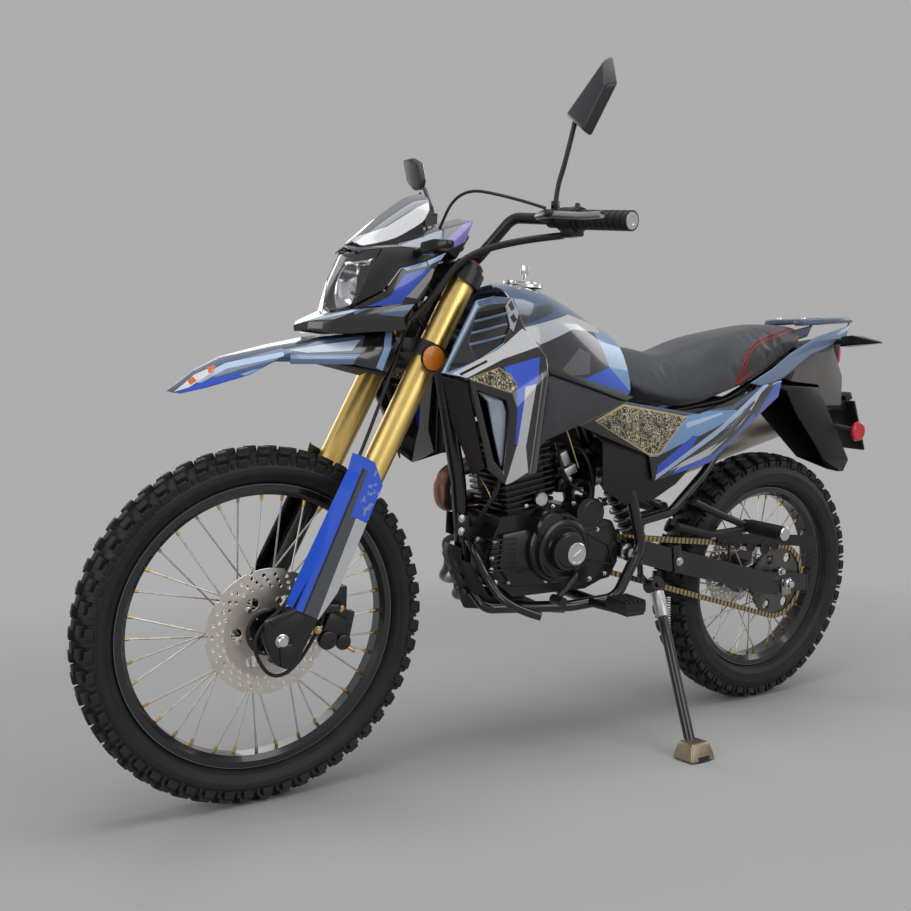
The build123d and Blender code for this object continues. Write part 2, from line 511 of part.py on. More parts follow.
def make_engine():
    """Crankcase with its round covers, finned cylinder, carburettor and exhaust."""
    case = side_plate([(566, 430), (572, 500), (620, 548), (690, 556), (880, 545), (905, 490), (886, 400),
                       (840, 366), (640, 366), (590, 384)], -78, 70)
    case = fillet(case.edges().filter_by(Axis.Y), 8)
    cover = cross_rod(747, 472, 64, 70, 118) + cross_rod(747, 472, 40, 118, 140)
    starter = cross_rod(665, 548, 33, 40, 100)
    clutch = cross_rod(700, 456, 74, -112, -76) + cross_rod(840, 440, 44, -108, -76)
    case += cover + starter + clutch
    case -= cross_rod(PIVOT_X, PIVOT_Z, 24, -120, 120)
    plane = Plane(origin=(798, 0, 552), x_dir=(cos(radians(10)), 0, -sin(radians(10))),
                  z_dir=(sin(radians(10)), 0, cos(radians(10))))
    barrel = extrude(plane * Rectangle(104, 100), amount=178)
    for number in range(12):
        reach = 152 if number > 1 else 136
        fin = extrude(plane.offset(14 + number * 13) * RectangleRounded(reach, 140, 18), amount=4)
        barrel += fin
    head_cap = extrude(plane.offset(178) * RectangleRounded(112, 104, 14), amount=22)
    boss = rod((780, 50, 579), (780, 76, 579), 14)
    barrel = barrel + head_cap + boss - case
    intake = rod((748, 0, 636), (650, 0, 640), 24) + Pos(690, 0, 636) * Box(50, 70, 84)
    intake = intake + Pos(628, 0, 636) * Box(46, 96, 76)
    pipe = bent_tube([(880, -44, 650), (962, -50, 622), (948, -64, 556), (866, -96, 560), (700, -94, 584),
                      (560, -78, 586), (440, -98, 604), (340, -140, 608), (262, -146, 608)],
                     HEADER_R, [34, 30, 40, 110, 110, 90, 70])
    muffler_start, muffler_end = Vector(270, -146, 606), Vector(-240, -146, 742)
    muffler = rod(muffler_start, muffler_end, MUFFLER_R)
    muffler += rod(muffler_end, muffler_end + (muffler_end - muffler_start).normalized() * 16, MUFFLER_R - 14)
    muffler -= rod(muffler_end - (muffler_end - muffler_start).normalized() * 20,
                   muffler_end + (muffler_end - muffler_start).normalized() * 40, 20)
    return {"engine": case, "cylinder": barrel, "carburettor": intake - barrel, "exhaust": pipe + muffler}


def make_tank():
    """Fuel tank with its cap, and the shrouds on its sides."""
    # stations: x, top z, top half width, shoulder z, shoulder half width, low z, low half width
    stations = ((601, 954, 62, 905, 112, 812, 100), (670, 985, 66, 930, 124, 806, 112),
                (780, 1030, 62, 950, 132, 812, 118), (850, 1036, 56, 950, 128, 822, 104),
                (922, 990, 46, 940, 72, 846, 60), (962, 976, 24, 940, 40, 880, 36))
    rings = []
    for x, top, top_half, mid, mid_half, low, low_half in stations:
        rings.append([(x, -low_half, low), (x, -mid_half, mid), (x, -top_half, top),
                      (x, top_half, top), (x, mid_half, mid), (x, low_half, low)])
    tank = ruled_body(rings)
    tunnel = bent_tube([at_fork(720, -CLAMP_OFFSET), (840, 0, 900), (640, 0, 790), (592, 0, 690)],
                       BACKBONE_R + 6, [90, 60])
    tank -= tunnel
    tank -= side_plate([(500, 700), (760, 700), (860, 880), (600, 830)], -BACKBONE_R - 6, BACKBONE_R + 6)
    tank -= rod(at_fork(560, -CLAMP_OFFSET), at_fork(CLAMP_TOP_LOW, -CLAMP_OFFSET), HEAD_TUBE_R + 4)
    tank -= side_plate([(1010, 940), (950, 910), (980, 780), (1016, 780)], -8, 8)
    cap = rod((800, 0, 1024), (800, 0, 1044), 36)
    shroud_points = {"nose": (1111, 180, 851), "vent_front": (1020, 156, 966), "vent_rear": (941, 148, 978),
                     "joint": (880, 142, 958), "rear_high": (887, 196, 851), "rear_low": (893, 182, 649),
                     "tip": (955, 186, 629), "scoop": (1051, 196, 800), "mid": (968, 204, 812)}
    facets = (("nose", "vent_front", "mid"), ("vent_front", "vent_rear", "mid"), ("vent_rear", "joint", "mid"),
              ("joint", "rear_high", "mid"), ("rear_high", "rear_low", "mid"), ("rear_low", "tip", "mid"),
              ("tip", "scoop", "mid"), ("scoop", "nose", "mid"))
    shroud = faceted_slab(shroud_points, facets, 6)
    shroud += rod((900, 60, 900), (905, 186, 880), 9)
    infill_points = {"front": (884, 172, 840), "corner": (780, 160, 752), "third": (712, 146, 758),
                     "rear": (606, 130, 800), "joint": (600, 116, 880), "top": (780, 140, 900)}
    infill = faceted_slab(infill_points, (("front", "top", "corner"), ("corner", "top", "third"),
                                          ("third", "top", "rear"), ("rear", "top", "joint")), 6)
    return {"fuel_tank": tank + cap, "tank_shrouds": both_sides(shroud + infill) - tank}


def make_seat_and_tail():
    """Seat, side panels, tail covers with the rack, light, mudguard and indicators."""
    # seat stations: x, top z, top half width, edge half width, bottom z
    stations = ((598, 950, 56, 92, 884), (520, 912, 66, 104, 842), (430, 902, 84, 116, 828),
                (330, 912, 98, 124, 836), (286, 944, 100, 122, 846), (120, 960, 94, 110, 890),
                (-50, 1004, 62, 74, 964))
    rings = []
    for x, top, top_half, edge_half, low in stations:
        rings.append([(x, -edge_half, low), (x, -edge_half, top - 34), (x, -top_half, top), (x, top_half, top),
                      (x, edge_half, top - 34), (x, edge_half, low)])
    seat = ruled_body(rings)
    panel_points = {"front": (700, 138, 762), "front_high": (596, 128, 800), "top": (430, 124, 800),
                    "rear_high": (232, 112, 822), "rear": (66, 92, 850), "mid": (341, 132, 655),
                    "low": (478, 138, 630), "tip": (523, 140, 680), "waist": (420, 134, 730)}
    panel = faceted_slab(panel_points, (("front", "front_high", "tip"), ("front_high", "top", "waist"),
                                        ("front_high", "waist", "tip"), ("top", "rear_high", "waist"),
                                        ("rear_high", "mid", "waist"), ("rear_high", "rear", "mid"),
                                        ("mid", "low", "waist"), ("low", "tip", "waist")), 6)
    panel += rod((440, 72, 770), (440, 128, 770), 8)
    tail_points = {"front": (174, 102, 838), "high": (150, 104, 880), "shoulder": (-52, 78, 958),
                   "top": (-62, 70, 1008), "rack": (-232, 66, 1016), "rack_low": (-241, 60, 1000),
                   "rear": (-196, 68, 970), "low": (-60, 84, 900)}
    tail = faceted_slab(tail_points, (("front", "high", "low"), ("high", "shoulder", "low"),
                                      ("shoulder", "rear", "low"), ("shoulder", "top", "rear"),
                                      ("top", "rack", "rear"), ("rack", "rack_low", "rear")), 8)
    deck = ruled_body([[(-66, -64, 1004), (-66, 64, 1004), (-66, 64, 988), (-66, -64, 988)],
                       [(-232, -62, 1014), (-232, 62, 1014), (-232, 62, 1000), (-232, -62, 1000)]])
    for x in (-110, -190):
        for y in (-42, 42):
            deck -= rod((x, y, 960), (x, y, 1060), 4.3)
    deck -= Pos(-150, 0, 1000) * Box(90, 44, 80)
    body = ruled_body([[(-90, -52, 980), (-90, 52, 980), (-90, 46, 962), (-90, -46, 962)],
                       [(-250, -40, 975), (-250, 40, 975), (-250, 34, 962), (-250, -34, 962)]])
    post = Pos(-110, 0, 984) * Box(24, 24, 20)
    rack = both_sides(tail) + deck + body + post
    light = ruled_body([[(-200, -44, 958), (-200, 44, 958), (-200, 40, 908), (-200, -40, 908)],
                        [(-240, -38, 954), (-240, 38, 954), (-246, 34, 900), (-246, -34, 900)]])
    # mudguard: x, z along its middle, half width
    run = ((60, 800, 70), (-60, 850, 70), (-200, 880, 62), (-290, 850, 60), (-340, 770, 58), (-430, 618, 52))
    rings = []
    for number, (x, z, half) in enumerate(run):
        before = run[max(number - 1, 0)]
        after = run[min(number + 1, len(run) - 1)]
        slope = atan2(after[1] - before[1], after[0] - before[0])
        nx, nz = -sin(slope) * FENDER_WALL, cos(slope) * FENDER_WALL
        skirt = 16
        sx, sz = -nx / FENDER_WALL * skirt, -nz / FENDER_WALL * skirt
        sign = -1
        rings.append([(x + sign * 0 - sx * 0, -half, z), (x, half, z), (x + nx * sign * -1, half, z + nz * sign * -1),
                      (x + nx * sign * -1, -half, z + nz * sign * -1)])
    mudguard = ruled_body(rings)
    tail_core = ruled_body([[(-150, -40, 868), (-150, 40, 868), (-150, 40, 962), (-150, -40, 962)],
                            [(-200, -40, 878), (-200, 40, 878), (-200, 40, 962), (-200, -40, 962)]])
    reflector = rod((-262, -4, 742), (-262, 0, 742), 3)
    indicators = Part()
    for side in (1, -1):
        stalk = rod((-196, side * 60, 940), (-186, side * 108, 946), 7)
        lamp = ruled_body([[(-160, side * 106, 956), (-160, side * 106, 930), (-206, side * 106, 932), (-206, side * 106, 958)],
                           [(-172, side * 208, 966), (-172, side * 208, 958), (-190, side * 208, 958), (-190, side * 208, 966)]])
        indicators += stalk + lamp
    indicators -= rack
    return {"seat": seat, "side_panels": both_sides(panel), "tail_rack": rack, "tail_light": light,
            "rear_mudguard": mudguard + tail_core, "rear_indicators": indicators}


def make_rear_end():
    """Swingarm, rear axle, chain, shock absorber, pegs and levers."""
    swingarm = Part()
    for side in (1, -1):
        y_in, y_out = (92, 108) if side > 0 else (-108, -92)
        arm = ruled_body([[(540, y_in, 484), (540, y_out, 484), (540, y_out, 430), (540, y_in, 430)],
                          [(470, y_in, 466), (470, y_out, 466), (470, y_out, 410), (470, y_in, 410)],
                          [(60, y_in, 362), (60, y_out, 362), (60, y_out, 306), (60, y_in, 306)],
                          [(-88, y_in, 346), (-88, y_out, 346), (-88, y_out, 302), (-88, y_in, 302)]])
        swingarm += arm
    swingarm += cross_rod(PIVOT_X, PIVOT_Z, PIVOT_TUBE_R + 5, -108, 108)
    swingarm += Pos(410, 0, 425) * Box(44, 190, 40)
    swingarm -= cross_rod(PIVOT_X, PIVOT_Z, PIVOT_TUBE_R + RUNNING, -140, 140)
    swingarm -= cross_rod(0, REAR_TYRE_R, AXLE_R, -140, 140)
    axle = cross_rod(0, REAR_TYRE_R, AXLE_R, -128, 128)
    for side in (1, -1):
        nut = cross_rod(0, REAR_TYRE_R, 14, 108 if side > 0 else -120, 120 if side > 0 else -108)
        axle += nut
    axle += cross_rod(0, REAR_TYRE_R, 13, 88, 92) + cross_rod(0, REAR_TYRE_R, 13, -92, -79)
    chain = chain_loop()
    guard = ruled_body([[(244, 88, 474), (244, 95, 474), (244, 95, 450), (244, 88, 450)],
                        [(20, 88, 456), (20, 95, 456), (20, 95, 430), (20, 88, 430)],
                        [(-131, 88, 444), (-131, 95, 444), (-131, 95, 412), (-131, 88, 412)]])
    guard += rod((200, 91.5, 458), (200, 100, 380), 3.5)
    shock = rod((420, 0, 440), (556, 0, 686), 26)
    pegs = Part()
    for side in (1, -1):
        bracket = rod((655, side * 104, 345), (655, side * 196, 352), 10)
        foot = Pos(640, side * 212, 362) * Box(58, 62, 22)
        pegs += bracket + foot
    gear = bent_tube([(716, 100, 420), (716, 130, 420), (760, 152, 396), (800, 170, 380)], 7, [12, 20])
    gear += rod((800, 160, 380), (800, 196, 380), 10)
    brake = bent_tube([(640, -116, 400), (640, -134, 400), (760, -150, 380), (800, -160, 380)], 7, [8, 20])
    brake += rod((800, -150, 380), (800, -190, 380), 10)
    passenger = Part()
    for side in (1, -1):
        hanger = bent_tube([(355, side * 116, 560), (280, side * 132, 528), (206, side * 150, 500)], 9, 40)
        stay = bent_tube([(407, side * 116, 505), (310, side * 134, 482), (212, side * 150, 492)], 9, 40)
        peg = rod((203, side * 140, 500), (203, side * 262, 500), 15)
        passenger += hanger + stay + peg
    return {"swingarm": swingarm, "rear_axle": axle, "chain": chain, "chain_guard": guard, "rear_shock": shock,
            "rider_pegs": pegs, "foot_levers": gear + brake, "passenger_pegs": passenger}


def chain_band(radius_rear, radius_front):
    """The area inside a belt round both sprockets, in (x, z)."""
    span = hypot(DRIVE_X, DRIVE_Z - REAR_TYRE_R)
    slope = atan2(DRIVE_Z - REAR_TYRE_R, DRIVE_X)
    lean = asin((radius_rear - radius_front) / span)
    rear = Vector(0, REAR_TYRE_R)
    front = Vector(DRIVE_X, DRIVE_Z)

    def rim(centre, radius, angle):
        return (centre.X + radius * cos(angle), centre.Y + radius * sin(angle))
    high = slope + pi / 2 - lean
    low = slope - pi / 2 + lean
    return Wire([
        Edge.make_line(rim(rear, radius_rear, high), rim(front, radius_front, high)),
        Edge.make_three_point_arc(rim(front, radius_front, high), rim(front, radius_front, slope),
                                  rim(front, radius_front, low)),
        Edge.make_line(rim(front, radius_front, low), rim(rear, radius_rear, low)),
        Edge.make_three_point_arc(rim(rear, radius_rear, low), rim(rear, radius_rear, slope + pi),
                                  rim(rear, radius_rear, high)),
    ])


def chain_loop():
    """The closed chain: two side bands with a roller belt between them, clear of the sprocket's teeth."""
    def ring(inset_low, inset_high, y_low, y_high):
        outer = Face(chain_band(SPROCKET_R + inset_high, DRIVE_SPROCKET_R + inset_high))
        inner = Face(chain_band(SPROCKET_R + inset_low, DRIVE_SPROCKET_R + inset_low))
        band = Plane(origin=(0, y_high, 0), x_dir=(1, 0, 0), z_dir=(0, -1, 0)) * outer.cut(inner)
        return extrude(band, amount=y_high - y_low, dir=(0, -1, 0))
    half = CHAIN_INNER_GAP / 2
    outer_half = half + CHAIN_PLATE
    sides = ring(-CHAIN_HALF_HEIGHT + 1, CHAIN_HALF_HEIGHT + 1, SPROCKET_Y - outer_half, SPROCKET_Y - half)
    sides += ring(-CHAIN_HALF_HEIGHT + 1, CHAIN_HALF_HEIGHT + 1, SPROCKET_Y + half, SPROCKET_Y + outer_half)
    belt = ring(1 + CHAIN_TOOTH_GAP, CHAIN_HALF_HEIGHT, SPROCKET_Y - half, SPROCKET_Y + half)
    return sides + belt


def make_stand():
    """The side stand's leg and foot, down on the floor."""
    foot_x, foot_y = STAND_FOOT
    foot_z = foot_y * tan(radians(LEAN))
    pivot = Vector(*STAND_PIVOT)
    foot = Vector(foot_x, foot_y, foot_z)
    down = (foot - pivot).normalized()
    floor = Plane(origin=(foot_x, foot_y, foot_z), x_dir=(1, 0, 0), z_dir=(0, -sin(radians(LEAN)), cos(radians(LEAN))))
    leg = rod(pivot + down * 12, foot - down * 8, STAND_LEG_R)
    sole = extrude(floor * RectangleRounded(46, 62, 10), amount=12)
    eye = rod(pivot + stand_axis() * -9, pivot + stand_axis() * 9, 20)
    eye -= rod(pivot + stand_axis() * -30, pivot + stand_axis() * 30, 6 + RUNNING)
    below = extrude(floor * Rectangle(400, 400), amount=-60)
    leg -= rod(pivot + stand_axis() * -30, pivot + stand_axis() * 30, 6 + RUNNING)
    bolt = rod(pivot + stand_axis() * -26, pivot + stand_axis() * 14, 6)
    lug = rod(pivot + stand_axis() * -26, pivot + stand_axis() * -12, 16)
    lug_mid = pivot + stand_axis() * -19
    hoop = Vector(527, 124, 438)
    aside = hoop - pivot - stand_axis() * (hoop - pivot).dot(stand_axis())
    elbow = lug_mid + aside.normalized() * 36
    strut = rod(lug_mid, elbow + aside.normalized() * 5, 7) + rod(elbow, hoop, 7)
    return {"side_stand": leg + sole + eye - below, "stand_bracket": bolt + lug + strut}


def stand_axis():
    """The direction of the stand's pivot, tilted so that the leg tucks in as it folds."""
    return Vector(0, cos(radians(STAND_AXIS_TILT)), sin(radians(STAND_AXIS_TILT)))


def place_parts(nodes):
    """Leans the bike onto its stand and centres it on its box, floor at z = 0."""
    leaned = {name: shape.moved(Rot(-LEAN, 0, 0)) for name, shape in nodes.items()}
    box = Compound([solid for shape in leaned.values() for solid in shape.solids()]).bounding_box()
    shift = Vector(-(box.min.X + box.max.X) / 2, -(box.min.Y + box.max.Y) / 2, -box.min.Z)
    return {name: shape.moved(Pos(*shift)) for name, shape in leaned.items()}, shift


# Pieces that are let into others: the piece, and what it is cut around.
CUTS = (("headlamp_mask", "headlamp"), ("headlamp_mask", "windscreen"), ("side_panels", "subframe"),
        ("carburettor", "frame"), ("rider_pegs", "frame"), ("rear_mudguard", "subframe"), ("foot_levers", "engine"),
        ("exhaust", "cylinder"), ("tail_rack", "seat"), ("rear_shock", "swingarm"), ("rear_shock", "frame"),
        ("rear_shock", "subframe"), ("stand_bracket", "frame"), ("front_fender", "triple_clamps"), ("mirrors", "bar_controls"), ("chain_guard", "swingarm"), ("fuel_tank", "frame"),
        ("tank_shrouds", "frame"), ("seat", "subframe"), ("engine", "frame"), ("tail_rack", "subframe"),
        ("tank_shrouds", "side_panels"))


def make_all():
    """Every node by name, upright in the bike frame."""
    nodes = {}
    for make in (make_wheels, make_fork, make_bars, make_front_bodywork, make_front_brake, make_frame,
                 make_engine, make_tank, make_seat_and_tail, make_rear_end, make_stand):
        nodes.update(make())
    for name, tool in CUTS:
        nodes[name] = nodes[name] - nodes[tool]
    return {name: Compound(shape.solids()) for name, shape in nodes.items()}


if __name__ == "__main__":
    os.makedirs("parts", exist_ok=True)
    placed, shift = place_parts(make_all())
    for name, shape in placed.items():
        export_step(shape, f"parts/{name}.step")
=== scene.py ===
"""Dual sport motorcycle on its side stand: the looks that go round the CAD frame."""
import json
import logging
import math
from dataclasses import dataclass, field
from enum import Enum
from typing import Callable, Iterable, Sequence

import bmesh
import bpy
from mathutils import Matrix, Vector
from mathutils.geometry import tessellate_polygon


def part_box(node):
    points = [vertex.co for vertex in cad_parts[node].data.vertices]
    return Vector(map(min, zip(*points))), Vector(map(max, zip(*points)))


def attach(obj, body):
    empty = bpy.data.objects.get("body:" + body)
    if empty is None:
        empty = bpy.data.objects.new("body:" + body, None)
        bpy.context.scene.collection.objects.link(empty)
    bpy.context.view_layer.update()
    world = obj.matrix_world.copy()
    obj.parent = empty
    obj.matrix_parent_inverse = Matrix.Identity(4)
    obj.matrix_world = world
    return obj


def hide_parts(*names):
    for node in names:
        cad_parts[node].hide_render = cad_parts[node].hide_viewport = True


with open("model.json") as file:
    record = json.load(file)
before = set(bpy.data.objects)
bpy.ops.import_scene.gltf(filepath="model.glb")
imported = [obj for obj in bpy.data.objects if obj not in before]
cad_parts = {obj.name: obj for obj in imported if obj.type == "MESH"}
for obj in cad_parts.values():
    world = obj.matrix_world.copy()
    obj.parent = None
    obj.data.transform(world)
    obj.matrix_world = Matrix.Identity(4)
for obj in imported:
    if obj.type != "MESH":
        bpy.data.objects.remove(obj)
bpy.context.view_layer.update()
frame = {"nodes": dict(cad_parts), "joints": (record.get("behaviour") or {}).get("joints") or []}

LOG = logging.getLogger("dual_sport")
MM = 0.001
Point = tuple[float, float, float]


# ---------------------------------------------------------------- the bike's own frame
def mm(x: float, y: float, z: float) -> Vector:
    """A point of the upright bike, given in millimetres, as metres."""
    return Vector((x, y, z)) * MM


@dataclass(frozen=True)
class BikeFrame:
    """The upright bike's frame (x ahead, y left, z up, rear axle over x = 0), as it leans in the row."""

    lean: float
    shift: Vector
    front_r: float
    rear_r: float
    wheelbase: float

    @classmethod
    def read(cls) -> "BikeFrame":
        """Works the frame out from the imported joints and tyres.

        Returns:
            The frame that takes upright points to the row.
        """
        joints = {joint["name"]: joint for joint in frame["joints"]}
        axis = Vector(joints["rear_wheel_spin"]["axis"])
        lean = math.atan2(-axis.z, axis.y)
        radii = []
        for tyre in ("front_tyre", "rear_tyre"):
            low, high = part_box(tyre)
            radii.append((high.x - low.x) / 2)
        rear = Vector(joints["rear_wheel_spin"]["pos_m"])
        front = Vector(joints["front_wheel_spin"]["pos_m"])
        turn = Matrix.Rotation(-lean, 4, "X")
        shift = rear - turn @ Vector((0, 0, radii[1]))
        return cls(lean, shift, radii[0], radii[1], front.x - rear.x)

    def matrix(self) -> Matrix:
        """The matrix from the upright bike to the row."""
        return Matrix.Translation(self.shift) @ Matrix.Rotation(-self.lean, 4, "X")


BIKE = BikeFrame.read()
TO_ROW = BIKE.matrix()
RAKE = math.radians(26.5)
TRAIL = 0.100
CLAMP_OFFSET = 0.035
FORK_HALF = 0.097
FRONT_AXLE = Vector((BIKE.wheelbase, 0, BIKE.front_r))
REAR_AXLE = Vector((0, 0, BIKE.rear_r))
FORK_UP = Vector((-math.sin(RAKE), 0, math.cos(RAKE)))
FORK_AHEAD = Vector((math.cos(RAKE), 0, math.sin(RAKE)))
_lead = (BIKE.front_r * math.tan(RAKE) - TRAIL) * math.cos(RAKE) - CLAMP_OFFSET
FORK_FOOT = FRONT_AXLE - FORK_AHEAD * _lead


def at_fork(up: float, ahead: float = 0.0, side: float = 0.0) -> Vector:
    """A point given along the fork legs from the axle, ahead of them and to the left, in millimetres."""
    return FORK_FOOT + (FORK_UP * up + FORK_AHEAD * ahead + Vector((0, side, 0))) * MM


# ---------------------------------------------------------------- shader expressions
class Value:
    """One shader socket that takes part in Python expressions."""

    def __init__(self, paint: "Paint", socket: bpy.types.NodeSocket) -> None:
        """Wraps a socket of a paint's node tree."""
        self.paint = paint
        self.socket = socket

    def _maths(self, operation: str, *values: "Value | float") -> "Value":
        """A Math node on these values."""
        return self.paint.node("ShaderNodeMath", {"operation": operation}, list(values))

    def __add__(self, other: "Value | float") -> "Value":
        """Sum."""
        return self._maths("ADD", self, other)

    __radd__ = __add__

    def __mul__(self, other: "Value | float") -> "Value":
        """Product."""
        return self._maths("MULTIPLY", self, other)

    __rmul__ = __mul__

    def __sub__(self, other: "Value | float") -> "Value":
        """Difference."""
        return self._maths("SUBTRACT", self, other)

    def __rsub__(self, other: float) -> "Value":
        """Difference from a number."""
        return self._maths("SUBTRACT", other, self)

    def __truediv__(self, other: "Value | float") -> "Value":
        """Quotient."""
        return self._maths("DIVIDE", self, other)

    def __gt__(self, other: "Value | float") -> "Value":
        """1 where this is the greater."""
        return self._maths("GREATER_THAN", self, other)

    def __lt__(self, other: "Value | float") -> "Value":
        """1 where this is the smaller."""
        return self._maths("LESS_THAN", self, other)

    def __or__(self, other: "Value | float") -> "Value":
        """The greater of the two."""
        return self._maths("MAXIMUM", self, other)

    def fract(self) -> "Value":
        """The part after the whole number."""
        return self._maths("FRACT", self)

    def sine(self) -> "Value":
        """Sine of the value."""
        return self._maths("SINE", self)

    def size(self) -> "Value":
        """The value without its sign."""
        return self._maths("ABSOLUTE", self)

    def ease(self, low: float, high: float) -> "Value":
        """0 below low, 1 above high and smooth between."""
        return self.paint.node("ShaderNodeMapRange", {"interpolation_type": "SMOOTHSTEP"}, [self, low, high])


Colour = tuple[float, float, float]
Outline = Sequence[tuple[float, float]]


def rgba(colour: Colour) -> tuple[float, float, float, float]:
    """A colour with full alpha."""
    return (*colour, 1.0)


def grey(level: float) -> Colour:
    """A neutral colour."""
    return (level, level, level)


class Paint:
    """A material under construction, whose patterns lie in the upright bike's frame."""

    def __init__(self, name: str, world: bpy.types.World | None = None) -> None:
        """Starts a material, or a world, with an empty tree."""
        self.material = world or bpy.data.materials.new(name)
        self.material.use_nodes = True
        self.tree = self.material.node_tree
        self.tree.nodes.clear()
        self._place: Value | None = None

    def node(self, kind: str, settings: dict | None = None, inputs: list | dict | None = None,
             output: int | str = 0) -> Value:
        """Adds any node.

        Args:
            kind: The node's type name.
            settings: Attributes set before the sockets; "stops" fills a ramp.
            inputs: Values or links, in a list by place or a dict by socket name.
            output: Which output to return.

        Returns:
            The wrapped output socket.
        """
        made = self.tree.nodes.new(kind)
        for key, value in (settings or {}).items():
            if key == "stops":
                ramp = made.color_ramp
                while len(ramp.elements) < len(value):
                    ramp.elements.new(0.5)
                for element, (place, colour) in zip(ramp.elements, value):
                    element.position = place
                    element.color = rgba(colour)
            else:
                setattr(made, key, value)
        pairs = enumerate(inputs or []) if not isinstance(inputs, dict) else inputs.items()
        for key, value in pairs:
            if value is None:
                continue
            socket = made.inputs[key]
            if isinstance(value, Value):
                self.tree.links.new(value.socket, socket)
            elif isinstance(value, tuple) and len(value) == 3 and socket.type == "RGBA":
                socket.default_value = rgba(value)
            else:
                socket.default_value = value
        return Value(self, made.outputs[output]) if made.outputs else None

    def place(self) -> Value:
        """Object coordinates brought back to the upright bike, in metres."""
        if self._place is None:
            coordinates = self.node("ShaderNodeTexCoord", output="Object")
            back = TO_ROW.inverted()
            self._place = self.node("ShaderNodeMapping", {"vector_type": "POINT"},
                                    [coordinates, back.to_translation(), back.to_euler()])
        return self._place

    def turned(self, centre: Vector, angles: Point = (0, 0, 0), scale: Point = (1, 1, 1)) -> Value:
        """Coordinates about a centre, turned and scaled for one piece's pattern."""
        moved = self.node("ShaderNodeVectorMath", {"operation": "SUBTRACT"}, [self.place(), centre])
        return self.node("ShaderNodeMapping", {"vector_type": "POINT"}, [moved, (0, 0, 0), angles, scale])

    def along(self, direction: Vector) -> Value:
        """How far a point lies along a direction, in metres."""
        return self.node("ShaderNodeVectorMath", {"operation": "DOT_PRODUCT"}, [self.place(), direction],
                         output="Value")

    def noise(self, scale: float, detail: float = 3.0, vector: Value | None = None,
              rough: float = 0.5) -> Value:
        """Noise from 0 to 1 at so many bumps a metre."""
        return self.node("ShaderNodeTexNoise", {}, {"Vector": vector or self.place(), "Scale": scale,
                                                    "Detail": detail, "Roughness": rough})

    def cells(self, scale: float, feature: str = "F1", vector: Value | None = None) -> Value:
        """Distance to the cells of a Voronoi pattern."""
        return self.node("ShaderNodeTexVoronoi", {"feature": feature},
                         {"Vector": vector or self.place(), "Scale": scale}, output="Distance")

    def mix(self, share: Value | float, first: Value | Colour, second: Value | Colour) -> Value:
        """The first colour where share is 0 and the second where it is 1."""
        return self.node("ShaderNodeMix", {"data_type": "RGBA"}, {0: share, 6: first, 7: second}, output=2)

    def inside(self, outline: Outline) -> Value:
        """1 inside an outline of (x, z) points of the upright bike, in millimetres.

        Args:
            outline: The outline's corners. A hollow one is split into triangles.

        Returns:
            The mask.
        """
        corners = [Vector((x, z, 0)) for x, z in outline]
        count = len(corners)
        turns = {(corners[n - 1] - corners[n - 2]).cross(corners[n] - corners[n - 1]).z > 0
                 for n in range(count)}
        if len(turns) == 2:
            mask = None
            for triangle in tessellate_polygon([corners]):
                part = self.inside(tuple(outline[n] for n in triangle))
                mask = part if mask is None else mask + part
            return mask
        middle = Vector((sum(x for x, _ in outline), sum(z for _, z in outline))) / count
        mask = None
        for (x0, z0), (x1, z1) in zip(outline, list(outline[1:]) + [outline[0]]):
            normal = Vector((z0 - z1, x1 - x0)).normalized()
            if normal.dot(middle - Vector((x0, z0))) < 0:
                normal = -normal
            level = normal.dot(Vector((x0, z0))) * MM
            edge = self.along(Vector((normal.x, 0, normal.y))) > level
            mask = edge if mask is None else mask * edge
        return mask

    def seen(self) -> Value:
        """1 for rays from the camera, off a gloss surface or through a clear part."""
        kinds = ("Is Camera Ray", "Is Glossy Ray", "Is Transmission Ray")
        camera, gloss, clear = (self.node("ShaderNodeLightPath", output=kind) for kind in kinds)
        return camera | gloss | clear

    def radius(self, centre: Point) -> Value:
        """Distance from an axle through a centre, in metres."""
        offset = self.node("ShaderNodeVectorMath", {"operation": "SUBTRACT"}, [self.place(), centre])
        flat = self.node("ShaderNodeVectorMath", {"operation": "MULTIPLY"}, [offset, (1, 0, 1)])
        return self.node("ShaderNodeVectorMath", {"operation": "LENGTH"}, [flat], output="Value")

    def bump(self, height: Value, strength: float, depth: float) -> Value:
        """A bumped normal, with the bump's depth in metres."""
        return self.node("ShaderNodeBump", {}, {"Strength": strength, "Distance": depth, "Height": height})

    def finish(self, colour: Value | Colour, roughness: Value | float = 0.5, metallic: Value | float = 0.0,
               normal: Value | None = None, coat: Value | float = 0.0, coat_roughness: float = 0.05,
               transmission: float = 0.0, ior: float = 1.45, alpha: Value | float = 1.0,
               sheen: float = 0.0, emission: Value | Colour | None = None,
               emission_strength: float = 0.0) -> bpy.types.Material:
        """Closes the tree with a Principled shader.

        Returns:
            The finished material.
        """
        shader = self.node("ShaderNodeBsdfPrincipled", {}, {
            "Base Color": colour, "Roughness": roughness, "Metallic": metallic, "Normal": normal,
            "Coat Weight": coat, "Coat Roughness": coat_roughness, "Transmission Weight": transmission,
            "IOR": ior, "Alpha": alpha, "Sheen Weight": sheen, "Emission Color": emission,
            "Emission Strength": emission_strength})
        self.node("ShaderNodeOutputMaterial", {}, {"Surface": shader})
        return self.material


# ---------------------------------------------------------------- finishes
class Finish:
    """A finish that makes its material once."""

    _made: dict = {}

    def material(self) -> bpy.types.Material:
        """The finish's material, made on first use."""
        if self not in Finish._made:
            Finish._made[self] = self.mix_paint(Paint(getattr(self, "name")))
        return Finish._made[self]

    def mix_paint(self, paint: Paint) -> bpy.types.Material:
        """Builds the material on an empty paint."""
        raise NotImplementedError


Graphic = tuple[Outline, Colour]


